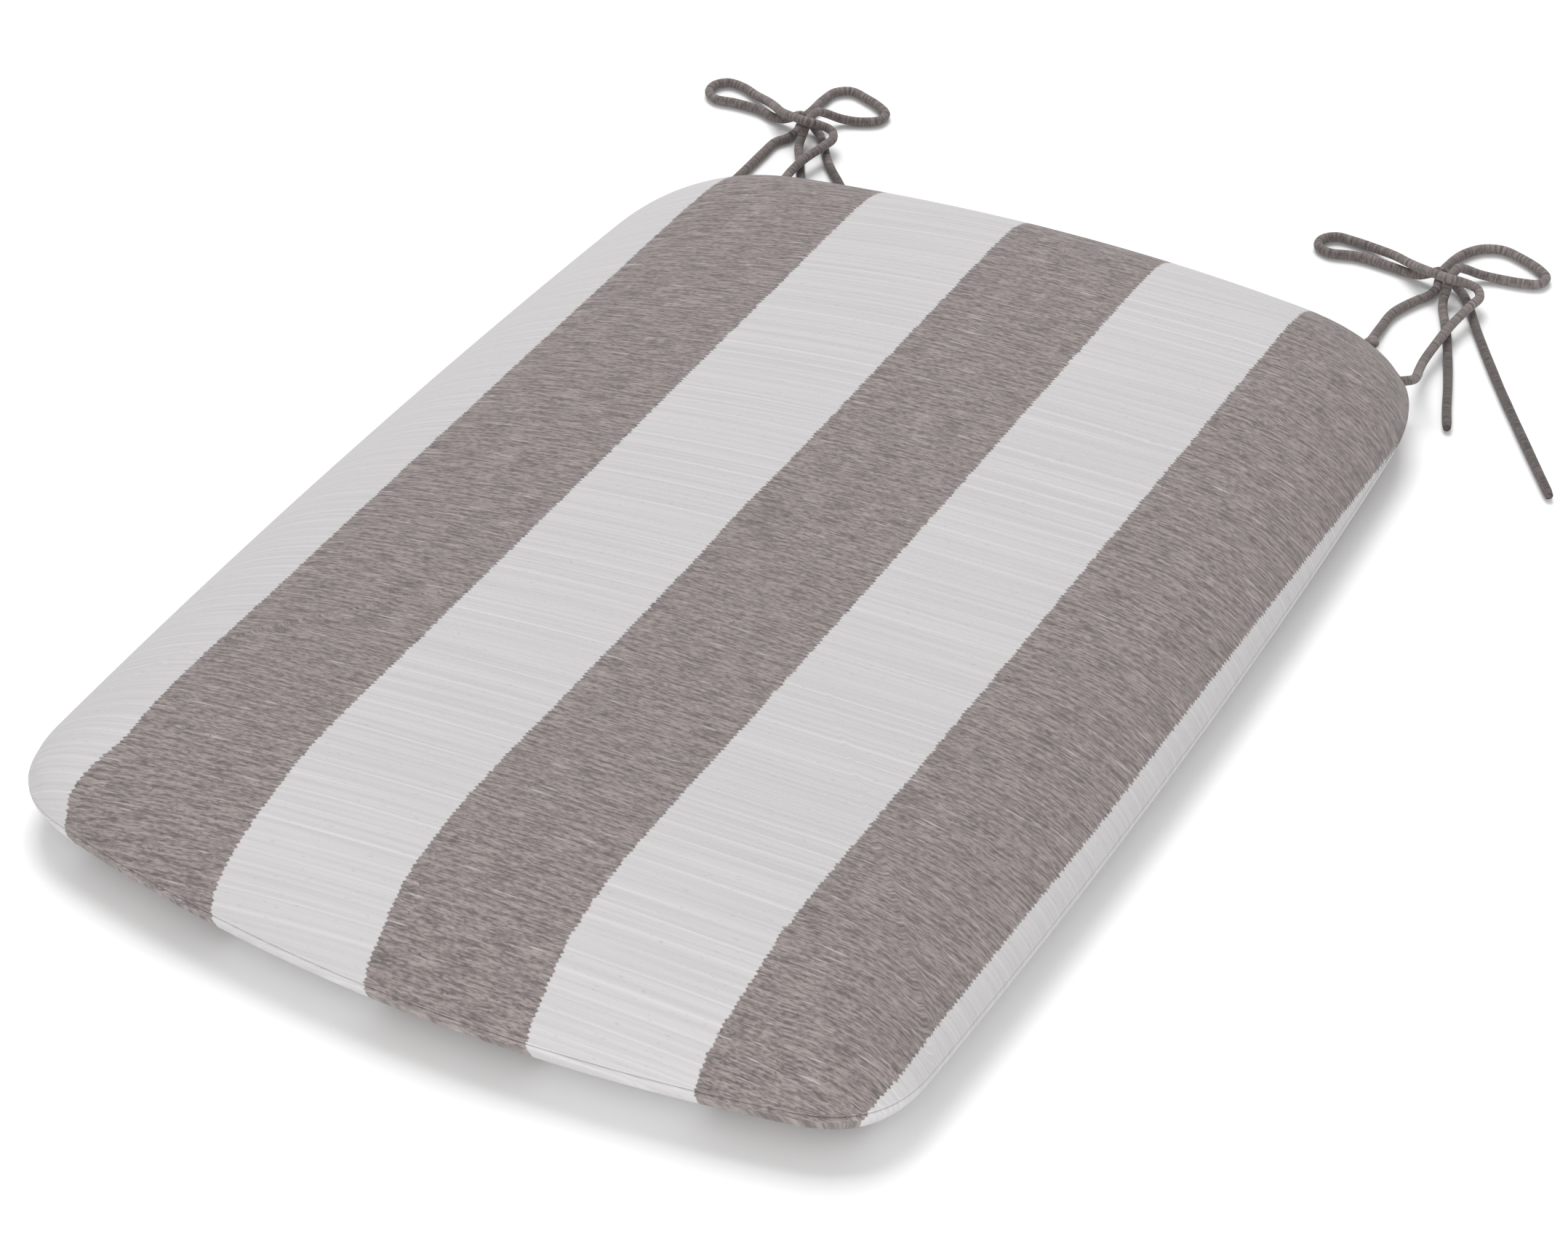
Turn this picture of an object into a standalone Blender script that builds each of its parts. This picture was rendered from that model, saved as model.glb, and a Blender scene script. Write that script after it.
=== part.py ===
"""Chair seat pad: a stuffed, knife-edged fabric pad with four round ties.

Metres, +Z up. The pad lies on its flat underside at z = 0, centred on the
origin. Its front edge faces -Y, and the ties leave the two back corners.
"""

import math

import bmesh
import bpy
from mathutils import Vector

# Outline of the seam, between the sharp corners that its curves round off.
FRONT_WIDTH = 0.3690
BACK_WIDTH = 0.3535
PAD_LENGTH = 0.4970
BACK_SKEW = 0.0205          # the back right corner lies this much further back
FRONT_BOW = 0.0255          # how far each edge bulges past its straight line
BACK_BOW = 0.0225
SIDE_BOW = 0.0075
FRONT_CORNER = 0.0320       # length of edge that each round corner takes up
BACK_CORNER = 0.0580
CORNER_FULLNESS = 0.68      # reach of a corner curve's handles towards its apex

# Heights and the insets over which the two panels curve in from the seam.
SEAM_HEIGHT = 0.0185
CROWN_HEIGHT = 0.0470
TOP_ROLL = 0.0660
UNDER_ROLL = 0.0300
TOP_FULLNESS = 0.65         # under 1 makes the top panel stand up steeply from the seam
SEAM_LIP = 0.0008           # each panel leaves the seam square to it for this height

# Cloth, filling and thread.
CLOTH = 0.0008
CLEARANCE = 0.0003
TOP_WADDING = 0.0060
UNDER_WADDING = 0.0030
SEAM_ALLOWANCE = 0.0100
ALLOWANCE_INSET = 0.0013
WADDING_INSET = 0.0080
FOAM_INSET = 0.0140
FOAM_SIDE_CLEARANCE = 0.0010
THREAD_RADIUS = 0.0003
THREAD_INSET = 0.0070
TACK_LENGTH = 0.0060
TACK_WIDTH = 0.0014
TACK_HEIGHT = 0.0009
TACK_INSET = 0.0040

# Ties.
TIE_DIAMETER = 0.0042
ROOT_RUN = 0.0040           # level run with which a tie leaves the seam
TIE_STEP = 2.6 * TIE_DIAMETER
TIE_TURN = math.radians(24.0)
BOW_HEADING = math.radians(29.2)

# Mesh density.
EDGE_SEGMENTS = 5
CORNER_SEGMENTS = 8
TOP_INSETS = (0.0015, 0.0040, 0.0080, 0.0140, 0.0220, 0.0340, 0.0480)
UNDER_INSETS = (0.0015, 0.0040, 0.0080, 0.0140, 0.0220)

# Strands of a knot, in the bow's own frame: sideways, forward and up from the
# floor point under the knot. "outer" is the tie whose leg comes in on the
# right and whose loop is the left one, "inner" is the other.
KNOT_OUTER_IN = (
    (0.0125, 0.0155, 0.0076), (0.0118, 0.0103, 0.0086), (0.0060, 0.0082, 0.0104),
    (0.0000, 0.0083, 0.0124), (-0.0060, 0.0024, 0.0113), (-0.0110, -0.0049, 0.0093),
)
KNOT_OUTER_OUT = (
    (-0.0150, -0.0115, 0.0026), (-0.0105, -0.0086, 0.0032), (-0.0060, -0.0062, 0.0057),
    (-0.0020, -0.0046, 0.0077), (0.0015, -0.0029, 0.0063), (0.0045, 0.0006, 0.0034),
    (0.0066, 0.0046, 0.0026), (0.0078, 0.0100, 0.0025),
)
KNOT_INNER_IN = (
    (-0.0140, 0.0105, 0.0025), (-0.0080, 0.0065, 0.0025), (-0.0040, 0.0010, 0.0024),
    (-0.0023, -0.0050, 0.0024), (-0.0005, -0.0110, 0.0027), (0.0035, -0.0170, 0.0030),
)
KNOT_INNER_OUT = (
    (0.0160, -0.0085, 0.0036), (0.0095, -0.0066, 0.0074), (0.0052, -0.0028, 0.0105),
    (0.0016, 0.0028, 0.0100), (-0.0009, 0.0084, 0.0066), (-0.0025, 0.0122, 0.0040),
    (-0.0032, 0.0165, 0.0027),
)

# Each bow: the floor point under its knot from the pad's back corner, where its
# two ties root on that corner's curve (0 on the back edge, 1 on the side edge),
# and the legs, loops and tails in the bow's own frame.
BOWS = {
    "left": {
        "side": -1,
        "knot": (0.0150, 0.0840),
        "roots": {"outer": 0.14, "inner": 0.36},
        "outer_leg": (
            (-0.0120, 0.0625, 0.0120), (-0.0102, 0.0530, 0.0084), (-0.0068, 0.0435, 0.0074),
            (-0.0005, 0.0330, 0.0076), (0.0085, 0.0218, 0.0076),
        ),
        "outer_loop": (
            (-0.0140, -0.0125, 0.0076), (-0.0170, -0.0205, 0.0052), (-0.0225, -0.0300, 0.0029),
            (-0.0290, -0.0385, 0.0025), (-0.0360, -0.0425, 0.0025), (-0.0422, -0.0402, 0.0025),
            (-0.0448, -0.0340, 0.0025), (-0.0420, -0.0280, 0.0025), (-0.0320, -0.0240, 0.0025),
            (-0.0210, -0.0178, 0.0025),
        ),
        "outer_tail": (
            (0.0103, 0.0285, 0.0025), (0.0140, 0.0425, 0.0025), (0.0185, 0.0560, 0.0025),
            (0.0320, 0.0720, 0.0025), (0.0490, 0.0828, 0.0025), (0.0670, 0.0913, 0.0025),
            (0.0850, 0.0995, 0.0025), (0.1010, 0.1070, 0.0025),
        ),
        "inner_leg": (
            (-0.0370, 0.0620, 0.0105), (-0.0365, 0.0530, 0.0044), (-0.0325, 0.0435, 0.0025),
            (-0.0255, 0.0310, 0.0025), (-0.0190, 0.0190, 0.0025),
        ),
        "inner_loop": (
            (0.0080, -0.0260, 0.0025), (0.0140, -0.0335, 0.0025), (0.0215, -0.0345, 0.0025),
            (0.0290, -0.0275, 0.0025), (0.0346, -0.0202, 0.0025), (0.0372, -0.0136, 0.0025),
            (0.0342, -0.0086, 0.0025), (0.0285, -0.0074, 0.0025), (0.0225, -0.0078, 0.0025),
        ),
        "inner_tail": (
            (-0.0026, 0.0260, 0.0025), (-0.0024, 0.0390, 0.0025), (-0.0010, 0.0510, 0.0025),
            (0.0030, 0.0625, 0.0025), (0.0110, 0.0715, 0.0025), (0.0220, 0.0770, 0.0025),
            (0.0330, 0.0810, 0.0025),
        ),
    },
    "right": {
        "side": 1,
        "knot": (-0.0315, 0.0855),
        "roots": {"outer": 0.52, "inner": 0.22},
        "outer_leg": (
            (-0.0233, 0.0855, 0.0152), (-0.0210, 0.0750, 0.0100), (-0.0170, 0.0630, 0.0073),
            (-0.0100, 0.0500, 0.0075), (-0.0020, 0.0360, 0.0073), (0.0080, 0.0220, 0.0076),
        ),
        "outer_loop": (
            (-0.0150, -0.0115, 0.0076), (-0.0200, -0.0200, 0.0058), (-0.0275, -0.0300, 0.0032),
            (-0.0360, -0.0370, 0.0025), (-0.0435, -0.0405, 0.0025), (-0.0500, -0.0385, 0.0025),
            (-0.0522, -0.0330, 0.0025), (-0.0485, -0.0280, 0.0025), (-0.0360, -0.0248, 0.0025),
            (-0.0220, -0.0165, 0.0025),
        ),
        "outer_tail": (
            (0.0086, 0.0200, 0.0025), (0.0096, 0.0360, 0.0025), (0.0116, 0.0580, 0.0025),
            (0.0142, 0.0820, 0.0025), (0.0173, 0.1060, 0.0025), (0.0205, 0.1300, 0.0025),
            (0.0238, 0.1540, 0.0025),
        ),
        "inner_leg": (
            (-0.0392, 0.0610, 0.0158), (-0.0398, 0.0520, 0.0088), (-0.0370, 0.0430, 0.0041),
            (-0.0315, 0.0310, 0.0025), (-0.0250, 0.0200, 0.0025),
        ),
        "inner_loop": (
            (0.0110, -0.0260, 0.0025), (0.0200, -0.0305, 0.0025), (0.0290, -0.0295, 0.0025),
            (0.0370, -0.0220, 0.0025), (0.0433, -0.0130, 0.0025), (0.0450, -0.0070, 0.0025),
            (0.0413, -0.0025, 0.0025), (0.0330, -0.0035, 0.0025), (0.0235, -0.0068, 0.0025),
        ),
        "inner_tail": (
            (-0.0036, 0.0280, 0.0025), (-0.0044, 0.0420, 0.0025), (-0.0060, 0.0580, 0.0025),
            (-0.0082, 0.0760, 0.0025), (-0.0106, 0.0920, 0.0025), (-0.0122, 0.1060, 0.0025),
        ),
    },
}

LIGHT_STRIPE = (0.66, 0.65, 0.65, 1.0)
DARK_STRIPE = (0.30, 0.27, 0.26, 1.0)
WHITE = (0.85, 0.85, 0.83, 1.0)
FOAM = (0.90, 0.87, 0.72, 1.0)


# ------------------------------------------------------------------ outline
def corner_apexes():
    """The four sharp corners, anticlockwise from the front left."""
    front = -PAD_LENGTH / 2.0
    back = PAD_LENGTH / 2.0
    return (
        Vector((-FRONT_WIDTH / 2.0, front)),
        Vector((FRONT_WIDTH / 2.0, front)),
        Vector((BACK_WIDTH / 2.0, back + BACK_SKEW / 2.0)),
        Vector((-BACK_WIDTH / 2.0, back - BACK_SKEW / 2.0)),
    )


def edge_point(start, end, bow, fraction):
    """A point on an edge that bulges by bow, on the right of its direction."""
    along = end - start
    outward = Vector((along.y, -along.x)).normalized()
    return start + along * fraction + outward * bow * 4.0 * fraction * (1.0 - fraction)


def corner_point(before, apex, after, fraction):
    """A point on the round corner that joins two edges, as a cubic curve."""
    handle_in = before.lerp(apex, CORNER_FULLNESS)
    handle_out = after.lerp(apex, CORNER_FULLNESS)
    rest = 1.0 - fraction
    return (before * rest ** 3 + handle_in * 3.0 * rest ** 2 * fraction
            + handle_out * 3.0 * rest * fraction ** 2 + after * fraction ** 3)


def outline_parts():
    """Edges and corners of the seam: two lists, each starting at the front."""
    apexes = corner_apexes()
    bows = (FRONT_BOW, SIDE_BOW, BACK_BOW, SIDE_BOW)
    radii = (FRONT_CORNER, FRONT_CORNER, BACK_CORNER, BACK_CORNER)
    edges = []
    for index in range(4):
        start, end = apexes[index], apexes[(index + 1) % 4]
        length = (end - start).length
        first = radii[index] / length
        last = 1.0 - radii[(index + 1) % 4] / length
        edges.append((start, end, bows[index], first, last))
    corners = []
    for index in range(4):
        start, end, bow, _, last = edges[index]
        before = edge_point(start, end, bow, last)
        start, end, bow, first, _ = edges[(index + 1) % 4]
        after = edge_point(start, end, bow, first)
        tangent_in = edge_point(*edges[index][:3], last + 0.01) - before
        tangent_out = edge_point(*edges[(index + 1) % 4][:3], first - 0.01) - after
        corners.append((before, meeting_point(before, tangent_in, after, tangent_out), after))
    return edges, corners


def meeting_point(first, first_way, second, second_way):
    """Where two lines in the plane cross."""
    gap = second - first
    cross = first_way.x * second_way.y - first_way.y * second_way.x
    reach = (gap.x * second_way.y - gap.y * second_way.x) / cross
    return first + first_way * reach


def raw_outline():
    """The seam's points, anticlockwise, before they are centred."""
    edges, corners = outline_parts()
    points = []
    for (start, end, bow, first, last), (before, apex, after) in zip(edges, corners):
        for step in range(EDGE_SEGMENTS):
            fraction = first + (last - first) * step / EDGE_SEGMENTS
            points.append(edge_point(start, end, bow, fraction))
        for step in range(CORNER_SEGMENTS):
            points.append(corner_point(before, apex, after, step / CORNER_SEGMENTS))
    return points


def outline_centre():
    """Middle of the outline's bounding box."""
    points = raw_outline()
    xs = [point.x for point in points]
    ys = [point.y for point in points]
    return Vector(((min(xs) + max(xs)) / 2.0, (min(ys) + max(ys)) / 2.0))


def seam_outline():
    """The seam's points, centred on the origin."""
    centre = outline_centre()
    return [point - centre for point in raw_outline()]


# ------------------------------------------------------------------ heights
def top_height(inset):
    """Height of the top panel's outer face at an inset from the seam."""
    share = min(max(inset / TOP_ROLL, 0.0), 1.0)
    rise = (1.0 - (1.0 - share) ** 2) ** TOP_FULLNESS
    return SEAM_HEIGHT + (CROWN_HEIGHT - SEAM_HEIGHT) * rise


def under_height(inset):
    """Height of the bottom panel's outer face at an inset from the seam."""
    share = 1.0 - min(max(inset / UNDER_ROLL, 0.0), 1.0)
    return SEAM_HEIGHT * (1.0 - math.sqrt(1.0 - share ** 2))


def square_offset(height, inset, depth):
    """The upright offset that puts a layer depth inside a sloping face."""
    step = 0.0001
    slope = (height(inset + step) - height(inset)) / step
    return depth * math.sqrt(1.0 + slope ** 2)


def under_top(inset, depth):
    """Height of a layer that lies depth inside the top panel."""
    return top_height(inset) - square_offset(top_height, inset, depth)


def over_bottom(inset, depth):
    """Height of a layer that lies depth inside the bottom panel."""
    return under_height(inset) + square_offset(under_height, inset, depth)


# ------------------------------------------------------------------ building
def clear_scene():
    """Remove every object, so that only this model is left."""
    for obj in list(bpy.data.objects):
        bpy.data.objects.remove(obj, do_unlink=True)


def make_material(name, colour, roughness):
    """A plain surface in one colour."""
    material = bpy.data.materials.new(name)
    material.use_nodes = True
    shader = material.node_tree.nodes["Principled BSDF"]
    shader.inputs["Base Color"].default_value = colour
    shader.inputs["Roughness"].default_value = roughness
    shader.inputs["Metallic"].default_value = 0.0
    return material


def add_object(name, data, collection, material):
    """Link mesh or curve data into the collection under a node's name."""
    obj = bpy.data.objects.new(name, data)
    obj.data.materials.append(material)
    collection.objects.link(obj)
    return obj


def ring_scale(inset):
    """How much a ring shrinks about the middle to lie inset from the seam."""
    return 1.0 - inset / (FRONT_WIDTH / 2.0)


def outline_face(bm, inset, height):
    """One flat face with the seam's outline, at an inset and a height."""
    scale = ring_scale(inset)
    verts = [bm.verts.new((point.x * scale, point.y * scale, height)) for point in seam_outline()]
    return bm.faces.new(verts)


def draw_in(bm, cap, old_inset, rings):
    """Inset a flat cap again and again, moving each new ring to its place."""
    for inset, height in rings:
        ratio = ring_scale(inset) / ring_scale(old_inset)
        places = [Vector((vert.co.x * ratio, vert.co.y * ratio, height)) for vert in cap.verts]
        bmesh.ops.inset_individual(bm, faces=[cap], thickness=0.0, depth=0.0)
        for vert, place in zip(cap.verts, places):
            vert.co = place
        old_inset = inset
    return cap


def finish_mesh(bm, name):
    """Turn the bmesh into mesh data, smooth apart from its sharp edges."""
    mesh = bpy.data.meshes.new(name)
    bm.to_mesh(mesh)
    bm.free()
    mesh.shade_smooth()
    mesh.set_sharp_from_angle(angle=math.radians(40.0))
    return mesh


def panel(name, rings, side, collection, material):
    """A cloth panel: an open dished surface from the seam, made CLOTH thick."""
    bm = bmesh.new()
    cap = outline_face(bm, 0.0, SEAM_HEIGHT + side * CLEARANCE / 2.0)
    if side < 0:
        bmesh.ops.reverse_faces(bm, faces=[cap])
    draw_in(bm, cap, 0.0, rings)
    obj = add_object(name, finish_mesh(bm, name), collection, material)
    thick = obj.modifiers.new("cloth", "SOLIDIFY")
    thick.thickness = CLOTH
    thick.offset = -1.0
    thick.use_even_offset = True
    return obj


def filling(name, rim_inset, rim_low, rim_high, upper, lower, collection, material):
    """A closed layer of filling: an upright rim, then rings above and below."""
    bm = bmesh.new()
    base = outline_face(bm, rim_inset, rim_low)
    bmesh.ops.reverse_faces(bm, faces=[base])
    grown = bmesh.ops.extrude_face_region(bm, geom=[base])
    lid = next(item for item in grown["geom"] if isinstance(item, bmesh.types.BMFace))
    for vert in lid.verts:
        vert.co.z = rim_high
    draw_in(bm, lid, rim_inset, upper)
    under = next(face for face in bm.faces
                 if len(face.verts) > 4 and all(vert.co.z == base_height(rim_low) for vert in face.verts))
    draw_in(bm, under, rim_inset, lower)
    bmesh.ops.recalc_face_normals(bm, faces=bm.faces)
    return add_object(name, finish_mesh(bm, name), collection, material)


def base_height(height):
    """A height as the mesh stores it."""
    return Vector((0.0, 0.0, height)).z


def add_covers(collection, cloth):
    """The two sewn panels that make the cover."""
    top_rings = [(0.0, SEAM_HEIGHT + SEAM_LIP)]
    top_rings += [(inset, top_height(inset)) for inset in TOP_INSETS + (TOP_ROLL,)]
    panel("cover_top_panel", top_rings, 1, collection, cloth)
    under_rings = [(0.0, SEAM_HEIGHT - SEAM_LIP)]
    under_rings += [(inset, under_height(inset)) for inset in UNDER_INSETS + (UNDER_ROLL,)]
    panel("cover_bottom_panel", under_rings, -1, collection, cloth)


def add_filling(collection, wadding, foam):
    """The foam core and the wadding over and under it."""
    skin = CLOTH + CLEARANCE
    foam_top = skin + TOP_WADDING + CLEARANCE
    foam_low = skin + UNDER_WADDING + CLEARANCE
    inner_top = [inset for inset in TOP_INSETS if inset > FOAM_INSET] + [TOP_ROLL]
    inner_low = [inset for inset in UNDER_INSETS if inset > FOAM_INSET] + [UNDER_ROLL]
    filling(
        "foam_core", FOAM_INSET,
        over_bottom(FOAM_INSET, foam_low), under_top(FOAM_INSET, foam_top),
        [(inset, under_top(inset, foam_top)) for inset in inner_top],
        [(inset, over_bottom(inset, foam_low)) for inset in inner_low],
        collection, foam)
    step_inset = FOAM_INSET - FOAM_SIDE_CLEARANCE
    allowance_top = SEAM_HEIGHT + CLOTH + CLEARANCE
    allowance_low = SEAM_HEIGHT - CLOTH - CLEARANCE
    filling(
        "wadding_top", WADDING_INSET,
        allowance_top + 2.0 * THREAD_RADIUS + CLEARANCE, under_top(WADDING_INSET, skin),
        [(inset, under_top(inset, skin)) for inset in [FOAM_INSET] + inner_top],
        [(step_inset, allowance_top + 2.0 * THREAD_RADIUS + CLEARANCE),
         (step_inset + CLEARANCE, under_top(FOAM_INSET, skin + TOP_WADDING))]
        + [(inset, under_top(inset, skin + TOP_WADDING)) for inset in inner_top],
        collection, wadding)
    filling(
        "wadding_bottom", WADDING_INSET,
        over_bottom(WADDING_INSET, skin), allowance_low,
        [(step_inset, allowance_low),
         (step_inset + CLEARANCE, over_bottom(FOAM_INSET, skin + UNDER_WADDING))]
        + [(inset, over_bottom(inset, skin + UNDER_WADDING)) for inset in inner_low],
        [(inset, over_bottom(inset, skin)) for inset in [FOAM_INSET] + inner_low],
        collection, wadding)


def add_seam(collection, cloth, thread):
    """The turned-in edges of both panels and the thread that joins them."""
    bm = bmesh.new()
    cap = outline_face(bm, ALLOWANCE_INSET, SEAM_HEIGHT)
    draw_in(bm, cap, ALLOWANCE_INSET, [(ALLOWANCE_INSET + SEAM_ALLOWANCE, SEAM_HEIGHT)])
    bmesh.ops.delete(bm, geom=[cap], context="FACES_ONLY")
    strip = add_object("seam_allowance", finish_mesh(bm, "seam_allowance"), collection, cloth)
    thick = strip.modifiers.new("two_layers", "SOLIDIFY")
    thick.thickness = 2.0 * CLOTH
    thick.offset = 0.0
    scale = ring_scale(THREAD_INSET)
    height = SEAM_HEIGHT + CLOTH + CLEARANCE + THREAD_RADIUS
    run = [(point.x * scale, point.y * scale, height) for point in seam_outline()]
    add_tube("seam_thread", run, THREAD_RADIUS, 0, True, collection, thread)


def add_tube(name, points, radius, resolution, closed, collection, material):
    """A round tube along a run of points."""
    curve = bpy.data.curves.new(name, "CURVE")
    curve.dimensions = "3D"
    curve.bevel_depth = radius
    curve.bevel_resolution = resolution
    curve.use_fill_caps = not closed
    spline = curve.splines.new("POLY")
    spline.points.add(len(points) - 1)
    for point, place in zip(spline.points, points):
        point.co = (*place, 1.0)
    spline.use_cyclic_u = closed
    return add_object(name, curve, collection, material)


# ------------------------------------------------------------------ ties
def root_place(side, fraction):
    """Where a tie leaves the seam on a back corner, and the way it points."""
    _, corners = outline_parts()
    corner = corners[1] if side > 0 else corners[2]
    share = fraction if side < 0 else 1.0 - fraction
    place = corner_point(*corner, share)
    ahead = corner_point(*corner, share + 0.01) - corner_point(*corner, share - 0.01)
    outward = Vector((ahead.y, -ahead.x)).normalized()
    return place - outline_centre(), outward


def bow_point(side, knot, local):
    """A point of a bow's own frame, in the model's frame."""
    apex = corner_apexes()[2 if side > 0 else 3] - outline_centre()
    sideways = Vector((math.cos(BOW_HEADING), math.sin(BOW_HEADING)))
    forward = Vector((math.sin(BOW_HEADING), -math.cos(BOW_HEADING)))
    place = apex + Vector(knot) + sideways * local[0] + forward * local[1]
    return Vector((place.x, place.y, local[2]))


def smooth_run(route, spacing):
    """Points along a smooth curve that passes through every point of a route."""
    ends = [route[0] * 2.0 - route[1]] + list(route) + [route[-1] * 2.0 - route[-2]]
    run = []
    for index in range(1, len(ends) - 2):
        quad = ends[index - 1:index + 3]
        knots = [0.0]
        for first, second in zip(quad, quad[1:]):
            knots.append(knots[-1] + math.sqrt((second - first).length))
        steps = max(2, math.ceil((quad[2] - quad[1]).length / spacing))
        for step in range(steps):
            here = knots[1] + (knots[2] - knots[1]) * step / steps
            run.append(blend_quad(quad, knots, here))
    run.append(route[-1])
    return run


def blend_quad(quad, knots, here):
    """The centripetal curve through the middle two of four points."""
    level = list(quad)
    for depth in (1, 2):
        level = [mix(level[i], level[i + 1], knots[i], knots[i + depth], here)
                 for i in range(len(level) - 1)]
    return mix(level[0], level[1], knots[1], knots[2], here)


def mix(first, second, start, end, here):
    """Straight blend of two points over a span of the curve's own measure."""
    share = (here - start) / (end - start)
    return first * (1.0 - share) + second * share


def thin_run(run):
    """Keep a point wherever the tie has run a step or turned a little."""
    kept = [run[0]]
    heading = run[1] - run[0]
    gone = 0.0
    for before, here, after in zip(run, run[1:], run[2:]):
        gone += (here - before).length
        if gone >= TIE_STEP or heading.angle(after - here) >= TIE_TURN:
            kept.append(here)
            heading = after - here
            gone = 0.0
    return kept + [run[-1]]


def tie_route(bow, strand):
    """The route of one tie of a bow, from its root to its end."""
    side, knot = bow["side"], bow["knot"]
    root, outward = root_place(side, bow["roots"][strand])
    start = root + outward * CLEARANCE
    leaving = start + outward * ROOT_RUN
    knot_in = KNOT_OUTER_IN if strand == "outer" else KNOT_INNER_IN
    knot_out = KNOT_OUTER_OUT if strand == "outer" else KNOT_INNER_OUT
    chosen = (bow[strand + "_leg"] + knot_in + bow[strand + "_loop"]
              + knot_out + bow[strand + "_tail"])
    route = [Vector((start.x, start.y, SEAM_HEIGHT)),
             Vector((leaving.x, leaving.y, SEAM_HEIGHT))]
    route += [bow_point(side, knot, local) for local in chosen]
    return route


def add_ties(collection, cloth, thread):
    """Four ties in two bows, each with the tack that holds its root."""
    for bow_name, bow in BOWS.items():
        for strand in ("outer", "inner"):
            route = tie_route(bow, strand)
            run = route[:1] + thin_run(smooth_run(route[1:], TIE_DIAMETER / 9.0))
            name = f"tie_{bow_name}_{strand}"
            add_tube(name, run, TIE_DIAMETER / 2.0, 2, False, collection, cloth)
            add_tack(f"tack_{bow_name}_{strand}", bow, strand, collection, thread)


def add_tack(name, bow, strand, collection, thread):
    """A short bar of dense stitches on the seam allowance, behind a root."""
    root, outward = root_place(bow["side"], bow["roots"][strand])
    place = root - outward * TACK_INSET
    bm = bmesh.new()
    bmesh.ops.create_cube(bm, size=1.0)
    for vert in bm.verts:
        vert.co.x *= TACK_LENGTH
        vert.co.y *= TACK_WIDTH
        vert.co.z *= TACK_HEIGHT
    tack = add_object(name, finish_mesh(bm, name), collection, thread)
    height = SEAM_HEIGHT + CLOTH + CLEARANCE + TACK_HEIGHT / 2.0
    tack.location = (place.x, place.y, height)
    tack.rotation_euler = (0.0, 0.0, math.atan2(outward.y, outward.x) + math.pi / 2.0)


def main():
    """Build the whole pad."""
    clear_scene()
    collection = bpy.data.collections.new("chair_seat_pad")
    bpy.context.scene.collection.children.link(collection)
    striped_cloth = make_material("striped_cloth", LIGHT_STRIPE, 0.9)
    tie_cloth = make_material("tie_cloth", DARK_STRIPE, 0.9)
    wadding = make_material("polyester_wadding", WHITE, 0.95)
    foam = make_material("cushion_foam", FOAM, 0.95)
    thread = make_material("sewing_thread", DARK_STRIPE, 0.8)
    add_covers(collection, striped_cloth)
    add_filling(collection, wadding, foam)
    add_seam(collection, striped_cloth, thread)
    add_ties(collection, tie_cloth, thread)


main()
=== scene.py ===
"""Visual model of a chair seat pad: a striped, stuffed cover and four round ties in two bows.

Every length is in metres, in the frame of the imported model. The pad lies on the floor at z = 0 with its
front edge towards -Y. The cover is swollen by a cloth simulation, and the ties follow the same routes
as their solids.
"""
from __future__ import annotations

import logging
import math
from dataclasses import dataclass
from enum import Enum
from typing import Callable, Sequence

import bmesh
import bpy
import numpy as np
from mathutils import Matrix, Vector

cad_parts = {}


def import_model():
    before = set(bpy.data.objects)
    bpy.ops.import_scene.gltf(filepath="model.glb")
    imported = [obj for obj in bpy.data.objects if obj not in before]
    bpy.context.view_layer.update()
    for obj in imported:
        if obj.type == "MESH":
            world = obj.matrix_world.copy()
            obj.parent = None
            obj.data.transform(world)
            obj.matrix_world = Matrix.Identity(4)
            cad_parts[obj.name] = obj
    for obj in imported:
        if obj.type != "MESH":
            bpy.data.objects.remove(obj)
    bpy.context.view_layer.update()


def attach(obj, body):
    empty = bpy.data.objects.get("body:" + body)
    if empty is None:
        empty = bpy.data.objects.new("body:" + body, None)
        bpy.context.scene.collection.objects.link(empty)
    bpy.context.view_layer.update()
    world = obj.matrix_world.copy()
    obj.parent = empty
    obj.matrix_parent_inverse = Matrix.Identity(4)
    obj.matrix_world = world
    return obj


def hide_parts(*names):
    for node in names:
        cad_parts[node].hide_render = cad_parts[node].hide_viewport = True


LOG = logging.getLogger("seat_pad")
Point = tuple[float, float, float]
Colour = tuple[float, float, float, float]


# ---------------------------------------------------------------- sizes
@dataclass(frozen=True)
class OutlineSizes:
    """The seam's outline, between the sharp corners that its curves round off."""

    front_width: float = 0.3690
    back_width: float = 0.3535
    length: float = 0.4970
    back_skew: float = 0.0205
    front_bow: float = 0.0255
    back_bow: float = 0.0225
    side_bow: float = 0.0075
    front_corner: float = 0.0320
    back_corner: float = 0.0580
    corner_fullness: float = 0.68
    edge_steps: int = 30
    corner_steps: int = 22


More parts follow.
